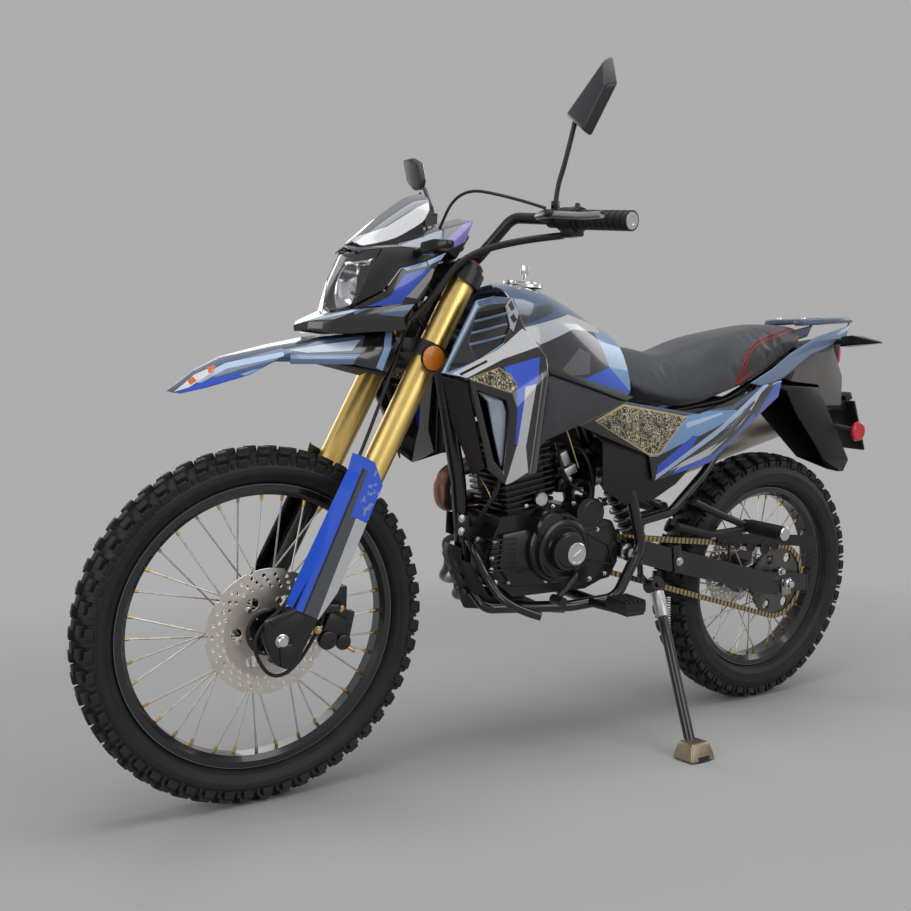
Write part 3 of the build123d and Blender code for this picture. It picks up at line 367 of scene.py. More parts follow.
@dataclass(frozen=True)
class GlossPanel(Finish):
    """Clear-coated moulded plastic with bands over it: print, and on some panels painted reflections and
    highlights.
    """

    name: str
    colour: Colour
    bands: tuple[Graphic, ...] = ()
    roughness: float = 0.22
    coat: float = 1.0

    def mix_paint(self, paint: Paint) -> bpy.types.Material:
        """Base colour, bands over it, orange peel in the coat and fine dust in the roughness."""
        colour: Value | Colour = self.colour
        for outline, band in self.bands:
            colour = paint.mix(paint.inside(outline), colour, band)
        flecks = paint.noise(900, 2)
        colour = paint.mix((flecks > 0.62) * 0.06, colour, grey(0.75))
        rough = paint.noise(14, 4).ease(0.35, 0.75) * 0.10 + (self.roughness - 0.04)
        peel = paint.bump(paint.noise(260, 2), 0.05, 0.0004)
        return paint.finish(colour, rough, coat=self.coat, coat_roughness=0.04, normal=peel)


@dataclass(frozen=True)
class PrintedPanel(Finish):
    """A gloss panel with one part printed in gold and black cells under a thin border."""

    name: str
    colour: Colour
    print_outline: Outline
    border: float
    bands: tuple[Graphic, ...] = ()

    def mix_paint(self, paint: Paint) -> bpy.types.Material:
        """Bands and streaks first, then the print and its border on top."""
        colour: Value | Colour = self.colour
        for outline, band in self.bands:
            colour = paint.mix(paint.inside(outline), colour, band)
        middle = Vector((sum(x for x, _ in self.print_outline), sum(z for _, z in self.print_outline)))
        middle /= len(self.print_outline)
        wide, high = 1 + self.border, 1 + 2.4 * self.border
        grown = tuple((middle.x + (x - middle.x) * wide, middle.y + (z - middle.y) * high)
                      for x, z in self.print_outline)
        swirl = paint.noise(50, 2, rough=0.5)
        chips = paint.noise(120, 3, vector=paint.turned(Vector((0.1, 0, 0.2)), (0, 0.6, 0), (1, 1, 2.0)))
        gold = paint.node("ShaderNodeValToRGB", {"stops": (
            (0.38, (0.010, 0.011, 0.010)), (0.415, (0.42, 0.38, 0.24)), (0.435, (0.015, 0.018, 0.014)),
            (0.475, (0.010, 0.012, 0.010)), (0.495, (0.62, 0.54, 0.34)), (0.515, (0.60, 0.47, 0.22)),
            (0.53, (0.014, 0.015, 0.012)), (0.565, (0.012, 0.012, 0.010)), (0.585, (0.70, 0.64, 0.44)),
            (0.62, (0.02, 0.02, 0.016)))}, [swirl * 0.86 + chips * 0.14])
        colour = paint.mix(paint.inside(grown), colour, (0.55, 0.40, 0.16))
        colour = paint.mix(paint.inside(self.print_outline), colour, gold)
        rough = paint.noise(18, 4).ease(0.3, 0.8) * 0.12 + 0.2
        peel = paint.bump(paint.noise(260, 2), 0.05, 0.0004)
        return paint.finish(colour, rough, coat=1.0, coat_roughness=0.05, normal=peel)


@dataclass(frozen=True)
class MattePlastic(Finish):
    """Moulded black plastic with a fine grain and paler scuffs."""

    name: str
    colour: Colour = (0.0085, 0.0085, 0.0095)
    roughness: float = 0.52
    grain: float = 1400.0
    depth: float = 0.00025
    bands: tuple[Graphic, ...] = ()

    def mix_paint(self, paint: Paint) -> bpy.types.Material:
        """Grain in the normal and a little dust in the colour."""
        grain = paint.cells(self.grain)
        dust = paint.noise(9, 5, rough=0.6).ease(0.45, 0.8)
        pale = tuple(min(1.0, c * 1.5 + 0.006) for c in self.colour)
        colour = paint.mix(dust * 0.6, self.colour, pale)
        for outline, band in self.bands:
            colour = paint.mix(paint.inside(outline), colour, band)
        rough = dust * 0.12 + (self.roughness - 0.05)
        return paint.finish(colour, rough, normal=paint.bump(grain, 0.35, self.depth))


@dataclass(frozen=True)
class Metal(Finish):
    """Bare, plated or anodised metal with fine scratches and small stains."""

    name: str
    colour: Colour
    stain: Colour
    roughness: float = 0.25
    scratch: float = 900.0
    stretch: Point = (1.0, 1.0, 1.0)
    metallic: float = 1.0

    def mix_paint(self, paint: Paint) -> bpy.types.Material:
        """Scratches stretched one way, and stains by slow noise."""
        lines = paint.noise(self.scratch, 3,
                            vector=paint.turned(Vector((0, 0, 0)), (0, -RAKE, 0), self.stretch))
        stains = paint.noise(22, 5, rough=0.65).ease(0.5, 0.85)
        colour = paint.mix(stains * 0.7, self.colour, self.stain)
        rough = lines * 0.16 + stains * 0.14 + (self.roughness - 0.08)
        return paint.finish(colour, rough, self.metallic, normal=paint.bump(lines, 0.12, 0.0002))


@dataclass(frozen=True)
class PaintedSteel(Finish):
    """Black enamel on tubes and cases, a little orange peel and worn spots."""

    name: str
    colour: Colour = (0.0055, 0.0055, 0.0065)
    roughness: float = 0.26
    coat: float = 0.6
    cast: float = 0.0

    def mix_paint(self, paint: Paint) -> bpy.types.Material:
        """Enamel over steel or a cast skin."""
        peel = paint.noise(180, 3) + paint.noise(1500, 2) * self.cast
        wear = paint.noise(60, 5, rough=0.7).ease(0.66, 0.8)
        pale = tuple(min(1.0, c + 0.03) for c in self.colour)
        colour = paint.mix(wear * 0.5, self.colour, pale)
        rough = paint.noise(30, 4) * 0.14 + (self.roughness - 0.06)
        return paint.finish(colour, rough, coat=self.coat, coat_roughness=0.12,
                            normal=paint.bump(peel, 0.12 + 0.3 * self.cast, 0.0004))


@dataclass(frozen=True)
class Rubber(Finish):
    """Tyre or grip rubber with dusty faces."""

    name: str
    colour: Colour = (0.010, 0.010, 0.011)
    dust: Colour = (0.050, 0.047, 0.043)
    roughness: float = 0.60

    def mix_paint(self, paint: Paint) -> bpy.types.Material:
        """Grain and patches of dust."""
        patches = paint.noise(16, 6, rough=0.68).ease(0.42, 0.8)
        specks = paint.noise(420, 3).ease(0.5, 0.9)
        colour = paint.mix(patches * 0.45 + specks * 0.16, self.colour, self.dust)
        return paint.finish(colour, patches * 0.16 + (self.roughness - 0.06),
                            normal=paint.bump(paint.noise(1100, 3), 0.3, 0.0003))


@dataclass(frozen=True)
class Vinyl(Finish):
    """Seat cover: fine leather grain, soft sheen and slow wrinkles, and a darker insert if one is given."""

    name: str
    colour: Colour = (0.030, 0.034, 0.043)
    roughness: float = 0.46
    insert: Outline = ()

    def mix_paint(self, paint: Paint) -> bpy.types.Material:
        """Leather cells under slow wrinkles."""
        cells = paint.cells(620, "DISTANCE_TO_EDGE").ease(0.0, 0.35)
        wrinkles = paint.noise(24, 3)
        shade = paint.noise(7, 4).ease(0.35, 0.75)
        colour = paint.mix(shade * 0.5 + (1 - cells) * 0.15, self.colour, (0.055, 0.060, 0.072))
        if self.insert:
            colour = paint.mix(paint.inside(self.insert), colour, (0.010, 0.010, 0.012))
        normal = paint.bump(cells * 0.25 + wrinkles, 0.3, 0.0012)
        return paint.finish(colour, shade * 0.08 + self.roughness, normal=normal, sheen=0.15)


@dataclass(frozen=True)
class DiscSteel(Finish):
    """Brake disc steel, ground in rings about the axle and a little brown."""

    name: str
    centre: tuple[float, float, float]
    track: float

    def mix_paint(self, paint: Paint) -> bpy.types.Material:
        """Rings by the radius in the wheel's plane, browner off the track."""
        radius = paint.radius(self.centre)
        rings = (radius * 9000 + paint.noise(60, 2) * 3).sine() * 0.5 + 0.5
        inner = 1 - radius.ease(self.track - 0.004, self.track + 0.004)
        heat = paint.noise(35, 4).ease(0.35, 0.75)
        colour = paint.mix(heat * 0.5, (0.76, 0.70, 0.64), (0.62, 0.55, 0.49))
        colour = paint.mix(inner * 0.6, colour, (0.50, 0.43, 0.38))
        return paint.finish(colour, rings * 0.08 + 0.30, 0.85, normal=paint.bump(rings, 0.05, 0.0001))


@dataclass(frozen=True)
class LacedWheel(Finish):
    """A laced wheel by radius: black hub, steel spokes, brass nipples and a black rim."""

    name: str
    centre: Point
    flange: float
    well: float
    rim: float

    def mix_paint(self, paint: Paint) -> bpy.types.Material:
        """Bare metal between the hub's flange and the rim's well, gloss black elsewhere."""
        radius = paint.radius(self.centre)
        bare = (radius > self.flange + 0.001) * (radius < self.well - 0.0006)
        nipple = (radius > self.well - 0.013) * bare
        lip = radius > self.rim - 0.0012
        stains = paint.noise(60, 4, rough=0.6).ease(0.45, 0.8)
        steel = paint.mix(stains * 0.8, (0.74, 0.71, 0.66), (0.50, 0.38, 0.22))
        colour = paint.mix(bare, (0.008, 0.008, 0.009), steel)
        colour = paint.mix(nipple, colour, (0.66, 0.44, 0.16))
        colour = paint.mix(lip, colour, (0.16, 0.16, 0.17))
        rough = paint.noise(40, 3) * 0.1 + bare * 0.06 + 0.2
        peel = paint.bump(paint.noise(420, 2), 0.06, 0.0003)
        return paint.finish(colour, rough, bare * 0.95, coat=(1 - bare) * 0.8, coat_roughness=0.08,
                            normal=peel)


@dataclass(frozen=True)
class Exhaust(Finish):
    """The exhaust: a pinkish brown header in front and a dull muffler with a black end behind."""

    name: str
    header: tuple[float, float] = (0.72, 0.80)
    end_cap: float = -0.222

    def mix_paint(self, paint: Paint) -> bpy.types.Material:
        """Colours by the place along the bike, with heat marks on the bend."""
        ahead = paint.along(Vector((1, 0, 0)))
        heat = paint.noise(30, 5, rough=0.65).ease(0.35, 0.8)
        pipe = paint.mix(heat, (0.44, 0.26, 0.18), (0.17, 0.10, 0.08))
        muffler = paint.mix(heat * 0.6, (0.60, 0.56, 0.49), (0.44, 0.39, 0.33))
        front = ahead.ease(*self.header)
        colour = paint.mix(front, muffler, pipe)
        end = ahead < self.end_cap
        colour = paint.mix(end, colour, BLACK)
        lines = paint.noise(500, 3, vector=paint.turned(Vector((0, 0, 0)), (0, 0.27, 0), (0.08, 1, 1)))
        rough = lines * 0.14 + heat * 0.1 + 0.36
        return paint.finish(colour, rough, 1 - end * 0.9, normal=paint.bump(lines, 0.1, 0.0002))


@dataclass(frozen=True)
class GuardPrint(Finish):
    """The fork guards: blue in front and on top, a dark grey band and a silver one on the outer side."""

    name: str
    blue: Colour = (0.022, 0.115, 0.80)
    grey_top: float = 0.352
    silver_top: float = 0.262

    def mix_paint(self, paint: Paint) -> bpy.types.Material:
        """Bands by the place along the leg and ahead of it; the insides are black."""
        foot = FORK_FOOT
        up = paint.along(FORK_UP) - FORK_UP.dot(foot)
        ahead = paint.along(FORK_AHEAD) - FORK_AHEAD.dot(foot)
        middle = (ahead < up * 0.055 + 0.018) * (up < self.grey_top)
        colour = paint.mix(middle, self.blue, (0.070, 0.078, 0.095))
        silver = (ahead < up * 0.085 - 0.016) * (up < self.silver_top)
        colour = paint.mix(silver, colour, (0.56, 0.57, 0.60))
        top = (up > self.silver_top) * (ahead < up * 0.085 - 0.004)
        colour = paint.mix(top, colour, self.blue)
        stripe = (ahead > up * 0.055 + 0.015) * (ahead < up * 0.055 + 0.0195) * (up < self.grey_top)
        colour = paint.mix(stripe, colour, BLACK)
        fleck = (paint.noise(70, 3) > 0.55) * (up > 0.27) * (ahead < 0.012)
        colour = paint.mix(fleck * 0.55, colour, (0.40, 0.44, 0.52))
        left = paint.along(Vector((0, 1, 0)))
        across = left.size()
        inner = (across < FORK_HALF + 0.0285) * (ahead < 0.040) + (left < 0.0) * (across < FORK_HALF + 0.0315)
        colour = paint.mix(inner, colour, BLACK)
        rough = paint.noise(20, 4) * 0.12 + 0.18
        return paint.finish(colour, rough, coat=0.9, coat_roughness=0.05,
                            normal=paint.bump(paint.noise(260, 2), 0.05, 0.0004))


@dataclass(frozen=True)
class LinkedChain(Finish):
    """Plated chain: pale plates, with a dark gap at each joint along the runs."""

    name: str
    pitch: float = 0.0135
    colour: Colour = (0.50, 0.37, 0.18)

    def mix_paint(self, paint: Paint) -> bpy.types.Material:
        """Dark gaps by the place along the run, and pins in the plates."""
        place = paint.along(Vector((0.985, 0, 0.17))) / self.pitch
        wave = (place.fract() - 0.5).size()
        gap = wave > 0.36
        pin = wave < 0.13
        stains = paint.noise(70, 4, rough=0.65).ease(0.4, 0.8)
        colour = paint.mix(stains * 0.8, self.colour, (0.16, 0.11, 0.06))
        colour = paint.mix(pin, colour, (0.50, 0.40, 0.24))
        colour = paint.mix(gap, colour, (0.070, 0.050, 0.028))
        rough = stains * 0.2 + gap * 0.2 + 0.32
        return paint.finish(colour, rough, 0.9, normal=paint.bump(1 - gap, 0.8, 0.0015))


@dataclass(frozen=True)
class ClearPart(Finish):
    """Clear or tinted moulding that lets light through."""

    name: str
    colour: Colour
    roughness: float = 0.06
    transmission: float = 0.9
    ribs: float = 0.0
    alpha: float = 1.0

    def mix_paint(self, paint: Paint) -> bpy.types.Material:
        """Faint ribs or swirls inside a clear plastic."""
        waves = paint.cells(max(self.ribs, 60.0))
        colour = paint.mix(paint.noise(20, 3) * 0.2, self.colour, tuple(c * 0.8 for c in self.colour))
        strength = 0.5 if self.ribs else 0.04
        return paint.finish(colour, paint.noise(30, 3) * 0.05 + self.roughness, coat=0.6,
                            transmission=self.transmission, ior=1.45, alpha=self.alpha,
                            normal=paint.bump(waves, strength, 0.001))


BLACK = (0.006, 0.006, 0.0075)
NIGHT = (0.014, 0.018, 0.028)
SKY = (0.30, 0.47, 0.72)
ROYAL = (0.018, 0.085, 0.62)
WHITE = (0.80, 0.81, 0.83)

TYRE = Rubber("tyre_rubber")
SOFT_RUBBER = Rubber("grip_rubber", (0.008, 0.008, 0.009), (0.03, 0.03, 0.03), 0.52)
ENAMEL = PaintedSteel("black_enamel")
SATIN = PaintedSteel("satin_black", (0.007, 0.007, 0.008), 0.38, 0.15)
CAST_BLACK = PaintedSteel("engine_black", (0.0085, 0.0085, 0.0095), 0.32, 0.3, 0.5)
GOLD = Metal("gold_anodised", (0.92, 0.66, 0.23), (0.84, 0.57, 0.18), 0.36, 240, (1, 1, 0.03))
STEEL = Metal("bright_steel", (0.72, 0.71, 0.70), (0.45, 0.42, 0.40), 0.24)
BRASS = Metal("brass_plating", (0.70, 0.48, 0.20), (0.45, 0.30, 0.14), 0.32)
ALLOY = Metal("cast_alloy", (0.50, 0.50, 0.50), (0.32, 0.31, 0.30), 0.42)
EXHAUST = Exhaust("exhaust_metal")
CHAIN_METAL = LinkedChain("chain_plating")
MATTE = MattePlastic("matte_black_plastic")
DEEP = MattePlastic("deep_black_plastic", (0.0045, 0.0045, 0.005), 0.46)
ASH_PLASTIC = MattePlastic("grey_plastic", (0.042, 0.044, 0.050), 0.50)
MIRROR_SHELL = MattePlastic("mirror_shell", (0.030, 0.032, 0.037), 0.40)
SMOKE = MattePlastic("indicator_smoke", (0.010, 0.009, 0.009), 0.20, 300, 0.0003)
SEAT_VINYL = Vinyl("seat_vinyl")
PIPING_RED = MattePlastic("red_piping", (0.42, 0.012, 0.02), 0.45, 900, 0.0004)
LENS = ClearPart("lamp_lens", (0.97, 0.98, 1.0), 0.01, 1.0)
AMBER = ClearPart("amber_lens", (0.95, 0.30, 0.02), 0.12, 0.25, 420)
RED = ClearPart("red_lens", (0.80, 0.01, 0.02), 0.12, 0.25, 420)
CHROME = Metal("bowl_chrome", (0.86, 0.86, 0.88), (0.7, 0.7, 0.72), 0.14)


# ---------------------------------------------------------------- the bench
class Body(Enum):
    """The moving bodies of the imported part."""

    CHASSIS = "chassis"
    STEERING = "steering"
    FRONT_WHEEL = "front_wheel"
    REAR_WHEEL = "rear_wheel"
    STAND = "side_stand"


class Bench:
    """Modelling steps on one object at a time, in the upright bike's frame."""

    @staticmethod
    def clear() -> None:
        """Deselects everything."""
        if bpy.context.object and bpy.context.object.mode != "OBJECT":
            bpy.ops.object.mode_set(mode="OBJECT")
        bpy.ops.object.select_all(action="DESELECT")

    @staticmethod
    def only(obj: bpy.types.Object) -> None:
        """Selects one object and makes it active."""
        Bench.clear()
        obj.select_set(True)
        bpy.context.view_layer.objects.active = obj

    @staticmethod
    def modify(obj: bpy.types.Object, kind: str, **settings: object) -> bpy.types.Object:
        """Adds a modifier and applies it."""
        Bench.only(obj)
        modifier = obj.modifiers.new(kind.lower(), kind)
        for key, value in settings.items():
            setattr(modifier, key, value)
        bpy.ops.object.modifier_apply(modifier=modifier.name)
        return obj

    @staticmethod
    def pick(obj: bpy.types.Object, kind: str, test: Callable) -> None:
        """In edit mode, selects only the verts, edges or faces that pass a test.

        Args:
            obj: The object in edit mode.
            kind: "VERT", "EDGE" or "FACE".
            test: Takes a bmesh element and says whether it is picked.
        """
        bpy.ops.mesh.select_mode(type=kind)
        bpy.ops.mesh.select_all(action="DESELECT")
        edit = bmesh.from_edit_mesh(obj.data)
        group = {"VERT": edit.verts, "EDGE": edit.edges, "FACE": edit.faces}[kind]
        for element in group:
            element.select_set(bool(test(element)))
        edit.select_flush_mode()
        bmesh.update_edit_mesh(obj.data)

    @staticmethod
    def edit(obj: bpy.types.Object) -> None:
        """Goes into edit mode on one object."""
        Bench.only(obj)
        bpy.ops.object.mode_set(mode="EDIT")

    @staticmethod
    def done(obj: bpy.types.Object, outward: bool = True) -> bpy.types.Object:
        """Merges doubles, turns the faces outward and leaves edit mode."""
        bpy.ops.mesh.select_all(action="SELECT")
        bpy.ops.mesh.remove_doubles(threshold=0.00002)
        if outward:
            bpy.ops.mesh.normals_make_consistent(inside=False)
        bpy.ops.object.mode_set(mode="OBJECT")
        return obj

    @staticmethod
    def chain(name: str, points: Sequence[Vector]) -> bpy.types.Object:
        """A chain of vertices, extruded from point to point, left in edit mode."""
        Bench.clear()
        bpy.ops.mesh.primitive_plane_add(size=0.01, location=points[0])
        obj = bpy.context.object
        obj.name = obj.data.name = name
        bpy.ops.object.transform_apply(location=True, rotation=True, scale=True)
        bpy.ops.object.mode_set(mode="EDIT")
        bpy.ops.mesh.select_all(action="SELECT")
        bpy.ops.mesh.merge(type="CENTER")
        bpy.ops.mesh.select_mode(type="VERT")
        bpy.ops.mesh.select_all(action="SELECT")
        for before, after in zip(points, points[1:]):
            bpy.ops.mesh.extrude_region_move(TRANSFORM_OT_translate={"value": Vector(after) - Vector(before)})
        return obj

    @staticmethod
    def lathe(name: str, profile: Sequence[tuple[float, float]], centre: Vector,
              axis: Vector = Vector((0, 1, 0)), steps: int = 48, closed: bool = False,
              smooth: float = 30.0) -> bpy.types.Object:
        """Turns a profile of (along the axis, radius) in millimetres about an axis.

        Args:
            name: The piece's name.
            profile: Points along the outline.
            centre: A point on the axis, in metres.
            axis: The axis' direction.
            steps: Steps in the turn.
            closed: Whether the outline closes on itself.
            smooth: The angle above which edges stay sharp, in degrees.

        Returns:
            The turned object.
        """
        axis = axis.normalized()
        out = axis.orthogonal().normalized()
        points = [centre + axis * (a * MM) + out * (r * MM) for a, r in profile]
        if closed:
            points.append(points[0])
        obj = Bench.chain(name, points)
        bpy.ops.mesh.select_all(action="SELECT")
        bpy.ops.mesh.spin(steps=steps, angle=2 * math.pi, center=centre, axis=axis, use_normal_flip=False)
        Bench.done(obj)
        return Bench.soften(obj, smooth)

    @staticmethod
    def soften(obj: bpy.types.Object, angle: float = 30.0) -> bpy.types.Object:
        """Smooth shading below an angle between faces, in degrees."""
        Bench.only(obj)
        bpy.ops.object.shade_smooth_by_angle(angle=math.radians(angle))
        return obj

    @staticmethod
    def plate(name: str, outline: Sequence[Vector], reach: Vector, bevel: float = 0.0,
              segments: int = 2) -> bpy.types.Object:
        """A plate: an outline filled and extruded by a vector, its edges bevelled."""
        obj = Bench.chain(name, list(outline) + [outline[0]])
        bpy.ops.mesh.select_all(action="SELECT")
        bpy.ops.mesh.remove_doubles(threshold=0.00002)
        bpy.ops.mesh.edge_face_add()
        bpy.ops.mesh.extrude_region_move(TRANSFORM_OT_translate={"value": reach})
        Bench.done(obj)
        if bevel:
            Bench.modify(obj, "BEVEL", width=bevel, segments=segments, limit_method="ANGLE",
                         angle_limit=math.radians(40))
        return Bench.soften(obj)

    @staticmethod
    def cage(name: str, points: dict, faces: str | Sequence[Sequence], bevel: float = 0.0, wall: float = 0.0,
             subdivide: int = 0, mirror: bool = False, crease: float = 0.0,
             segments: int = 2) -> bpy.types.Object:
        """A panel cage of named points in millimetres, given a wall and soft edges.

        Args:
            name: The piece's name.
            points: Places by name.
            faces: Each face's names in turn, or words whose letters are the names.
            bevel: Width of the soft edges, in metres.
            wall: Thickness towards the inside, in metres.
            subdivide: Levels of subdivision.
            mirror: Whether the other side is added.
            crease: Crease on every cage edge, from 0 to 1.
            segments: Segments in the bevel.

        Returns:
            The finished object.
        """
        names = list(points)
        loops = faces.split() if isinstance(faces, str) else faces
        mesh = bpy.data.meshes.new(name)
        mesh.from_pydata([mm(*place) for place in points.values()], [],
                         [[names.index(n) for n in f] for f in loops])
        obj = bpy.data.objects.new(name, mesh)
        bpy.context.scene.collection.objects.link(obj)
        Bench.edit(obj)
        Bench.done(obj, outward=not wall)
        if crease:
            Bench.edit(obj)
            bpy.ops.mesh.select_all(action="SELECT")
            bpy.ops.transform.edge_crease(value=crease)
            bpy.ops.object.mode_set(mode="OBJECT")
        if subdivide:
            Bench.modify(obj, "SUBSURF", levels=subdivide, render_levels=subdivide)
        if wall:
            Bench.modify(obj, "SOLIDIFY", thickness=wall, offset=-1, use_even_offset=True)
        if bevel:
            Bench.modify(obj, "BEVEL", width=bevel, segments=segments, limit_method="ANGLE",
                         angle_limit=math.radians(18))
        if mirror:
            Bench.modify(obj, "MIRROR", use_axis=(False, True, False), use_mirror_merge=True,
                         merge_threshold=0.0002)
        return Bench.soften(obj, 32)

    @staticmethod
    def tube(name: str, points: Sequence[Vector], radius: float, order: int = 3, sides: int = 4,
             straight: bool = False) -> bpy.types.Object:
        """A round tube along a smooth line through its route, as a mesh.

        Args:
            name: The piece's name.
            points: The route's points, in metres.
            radius: The tube's radius, in metres.
            order: The spline's order.
            sides: Bevel resolution of the tube.
            straight: Straight runs instead of a smooth line.

        Returns:
            The tube as a mesh object.
        """
        curve = bpy.data.curves.new(name, "CURVE")
        curve.dimensions = "3D"
        curve.bevel_depth = radius
        curve.bevel_resolution = sides
        curve.use_fill_caps = True
        spline = curve.splines.new("POLY" if straight else "NURBS")
        spline.points.add(len(points) - 1)
        for slot, point in zip(spline.points, points):
            slot.co = (*point, 1.0)
        if not straight:
            spline.order_u = min(order, len(points))
            spline.use_endpoint_u = True
            spline.resolution_u = 10
        obj = bpy.data.objects.new(name, curve)
        bpy.context.scene.collection.objects.link(obj)
        Bench.only(obj)
        bpy.ops.object.convert(target="MESH")
        obj = bpy.context.object
        obj.name = obj.data.name = name
        return Bench.soften(obj, 40)

    @staticmethod
    def rod(name: str, start: Vector, end: Vector, radius: float, bevel: float = 0.0,
            sides: int = 24) -> bpy.types.Object:
        """A round bar between two points, in metres, with bevelled ends."""
        Bench.clear()
        run = end - start
        turn = run.to_track_quat("Z", "Y").to_euler()
        bpy.ops.mesh.primitive_cylinder_add(vertices=sides, radius=radius, depth=run.length,
                                            location=(start + end) / 2, rotation=turn)
        obj = bpy.context.object
        obj.name = obj.data.name = name
        bpy.ops.object.transform_apply(location=True, rotation=True, scale=True)
        if bevel:
            Bench.modify(obj, "BEVEL", width=bevel, segments=2, limit_method="ANGLE",
                         angle_limit=math.radians(50))
        return Bench.soften(obj)

    @staticmethod
    def block(name: str, centre: Vector, size: Point, bevel: float = 0.002, turn: Point = (0, 0, 0),
              taper: tuple[float, float] = (1.0, 1.0), segments: int = 2) -> bpy.types.Object:
        """A cast or moulded block in millimetres, its top face narrowed and its edges rounded."""
        Bench.clear()
        bpy.ops.mesh.primitive_cube_add(size=1, location=(0, 0, 0))
        obj = bpy.context.object
        obj.name = obj.data.name = name
        bpy.ops.object.mode_set(mode="EDIT")
        Bench.pick(obj, "FACE", lambda face: face.normal.z > 0.9)
        bpy.ops.transform.resize(value=(taper[0], taper[1], 1), center_override=(0, 0, 0.5))
        bpy.ops.object.mode_set(mode="OBJECT")
        place = (Matrix.Translation(centre) @ Matrix.Rotation(turn[2], 4, "Z")
                 @ Matrix.Rotation(turn[1], 4, "Y"))
        place = place @ Matrix.Rotation(turn[0], 4, "X") @ Matrix.Diagonal((*[s * MM for s in size], 1))
        obj.data.transform(place)
        Bench.modify(obj, "BEVEL", width=bevel, segments=segments, limit_method="ANGLE",
                     angle_limit=math.radians(40))
        return Bench.soften(obj)

    @staticmethod
    def copies(obj: bpy.types.Object, places: Iterable[Matrix]) -> list[bpy.types.Object]:
        """Copies of a piece, each with its own mesh, moved by these matrices. The first is removed."""
        made = []
        for place in places:
            other = obj.copy()
            other.data = obj.data.copy()
            other.data.transform(place)
            if place.determinant() < 0:
                other.data.flip_normals()
            bpy.context.scene.collection.objects.link(other)
            made.append(other)
        bpy.data.objects.remove(obj)
        return made

    @staticmethod
    def join(name: str, parts: Sequence[bpy.types.Object]) -> bpy.types.Object:
        """Joins objects into one, which takes the name."""
        Bench.clear()
        for part in parts:
            part.select_set(True)
        bpy.context.view_layer.objects.active = parts[0]
        if len(parts) > 1:
            bpy.ops.object.join()
        obj = bpy.context.object
        obj.name = obj.data.name = name
        return obj

    @staticmethod
    def both(obj: bpy.types.Object) -> bpy.types.Object:
        """Adds the mirror image across the bike's middle plane."""
        name = obj.name
        flip = Matrix.Diagonal((1, -1, 1, 1))
        pair = Bench.copies(obj, [Matrix.Identity(4), flip])
        return Bench.join(name, pair)


class Piece:
    """Puts finished pieces in the row: place, finish, body and what they stand for."""

    count = 0

    @staticmethod
    def settle(obj: bpy.types.Object, finish: Finish, body: Body, slot: str,
               replaces: Sequence[str] = ()) -> bpy.types.Object:
        """Moves a finished piece to the row and lets it ride.

        Args:
            obj: A mesh object in the upright bike's frame.
            finish: Its finish.
            body: The body that carries it.
            slot: The record's material slot, or nothing where none fits. Not used.
            replaces: CAD nodes that it stands for.

        Returns:
            The settled object.
        """
        obj.data.transform(TO_ROW)
        obj.data.materials.clear()
        obj.data.materials.append(finish.material())
        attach(obj, body.value)
        if replaces:
            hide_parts(*replaces)
        Piece.count += 1
        LOG.info("%s: %d faces on %s", obj.name, len(obj.data.polygons), body.value)
        return obj

    @staticmethod
    def dress(node: str, finish: Finish) -> None:
        """Gives a CAD node a finish."""
        target = frame["nodes"].get(node)
        if target is None:
            LOG.warning("no node %s", node)
            return
        target.data.materials.clear()
        target.data.materials.append(finish.material())


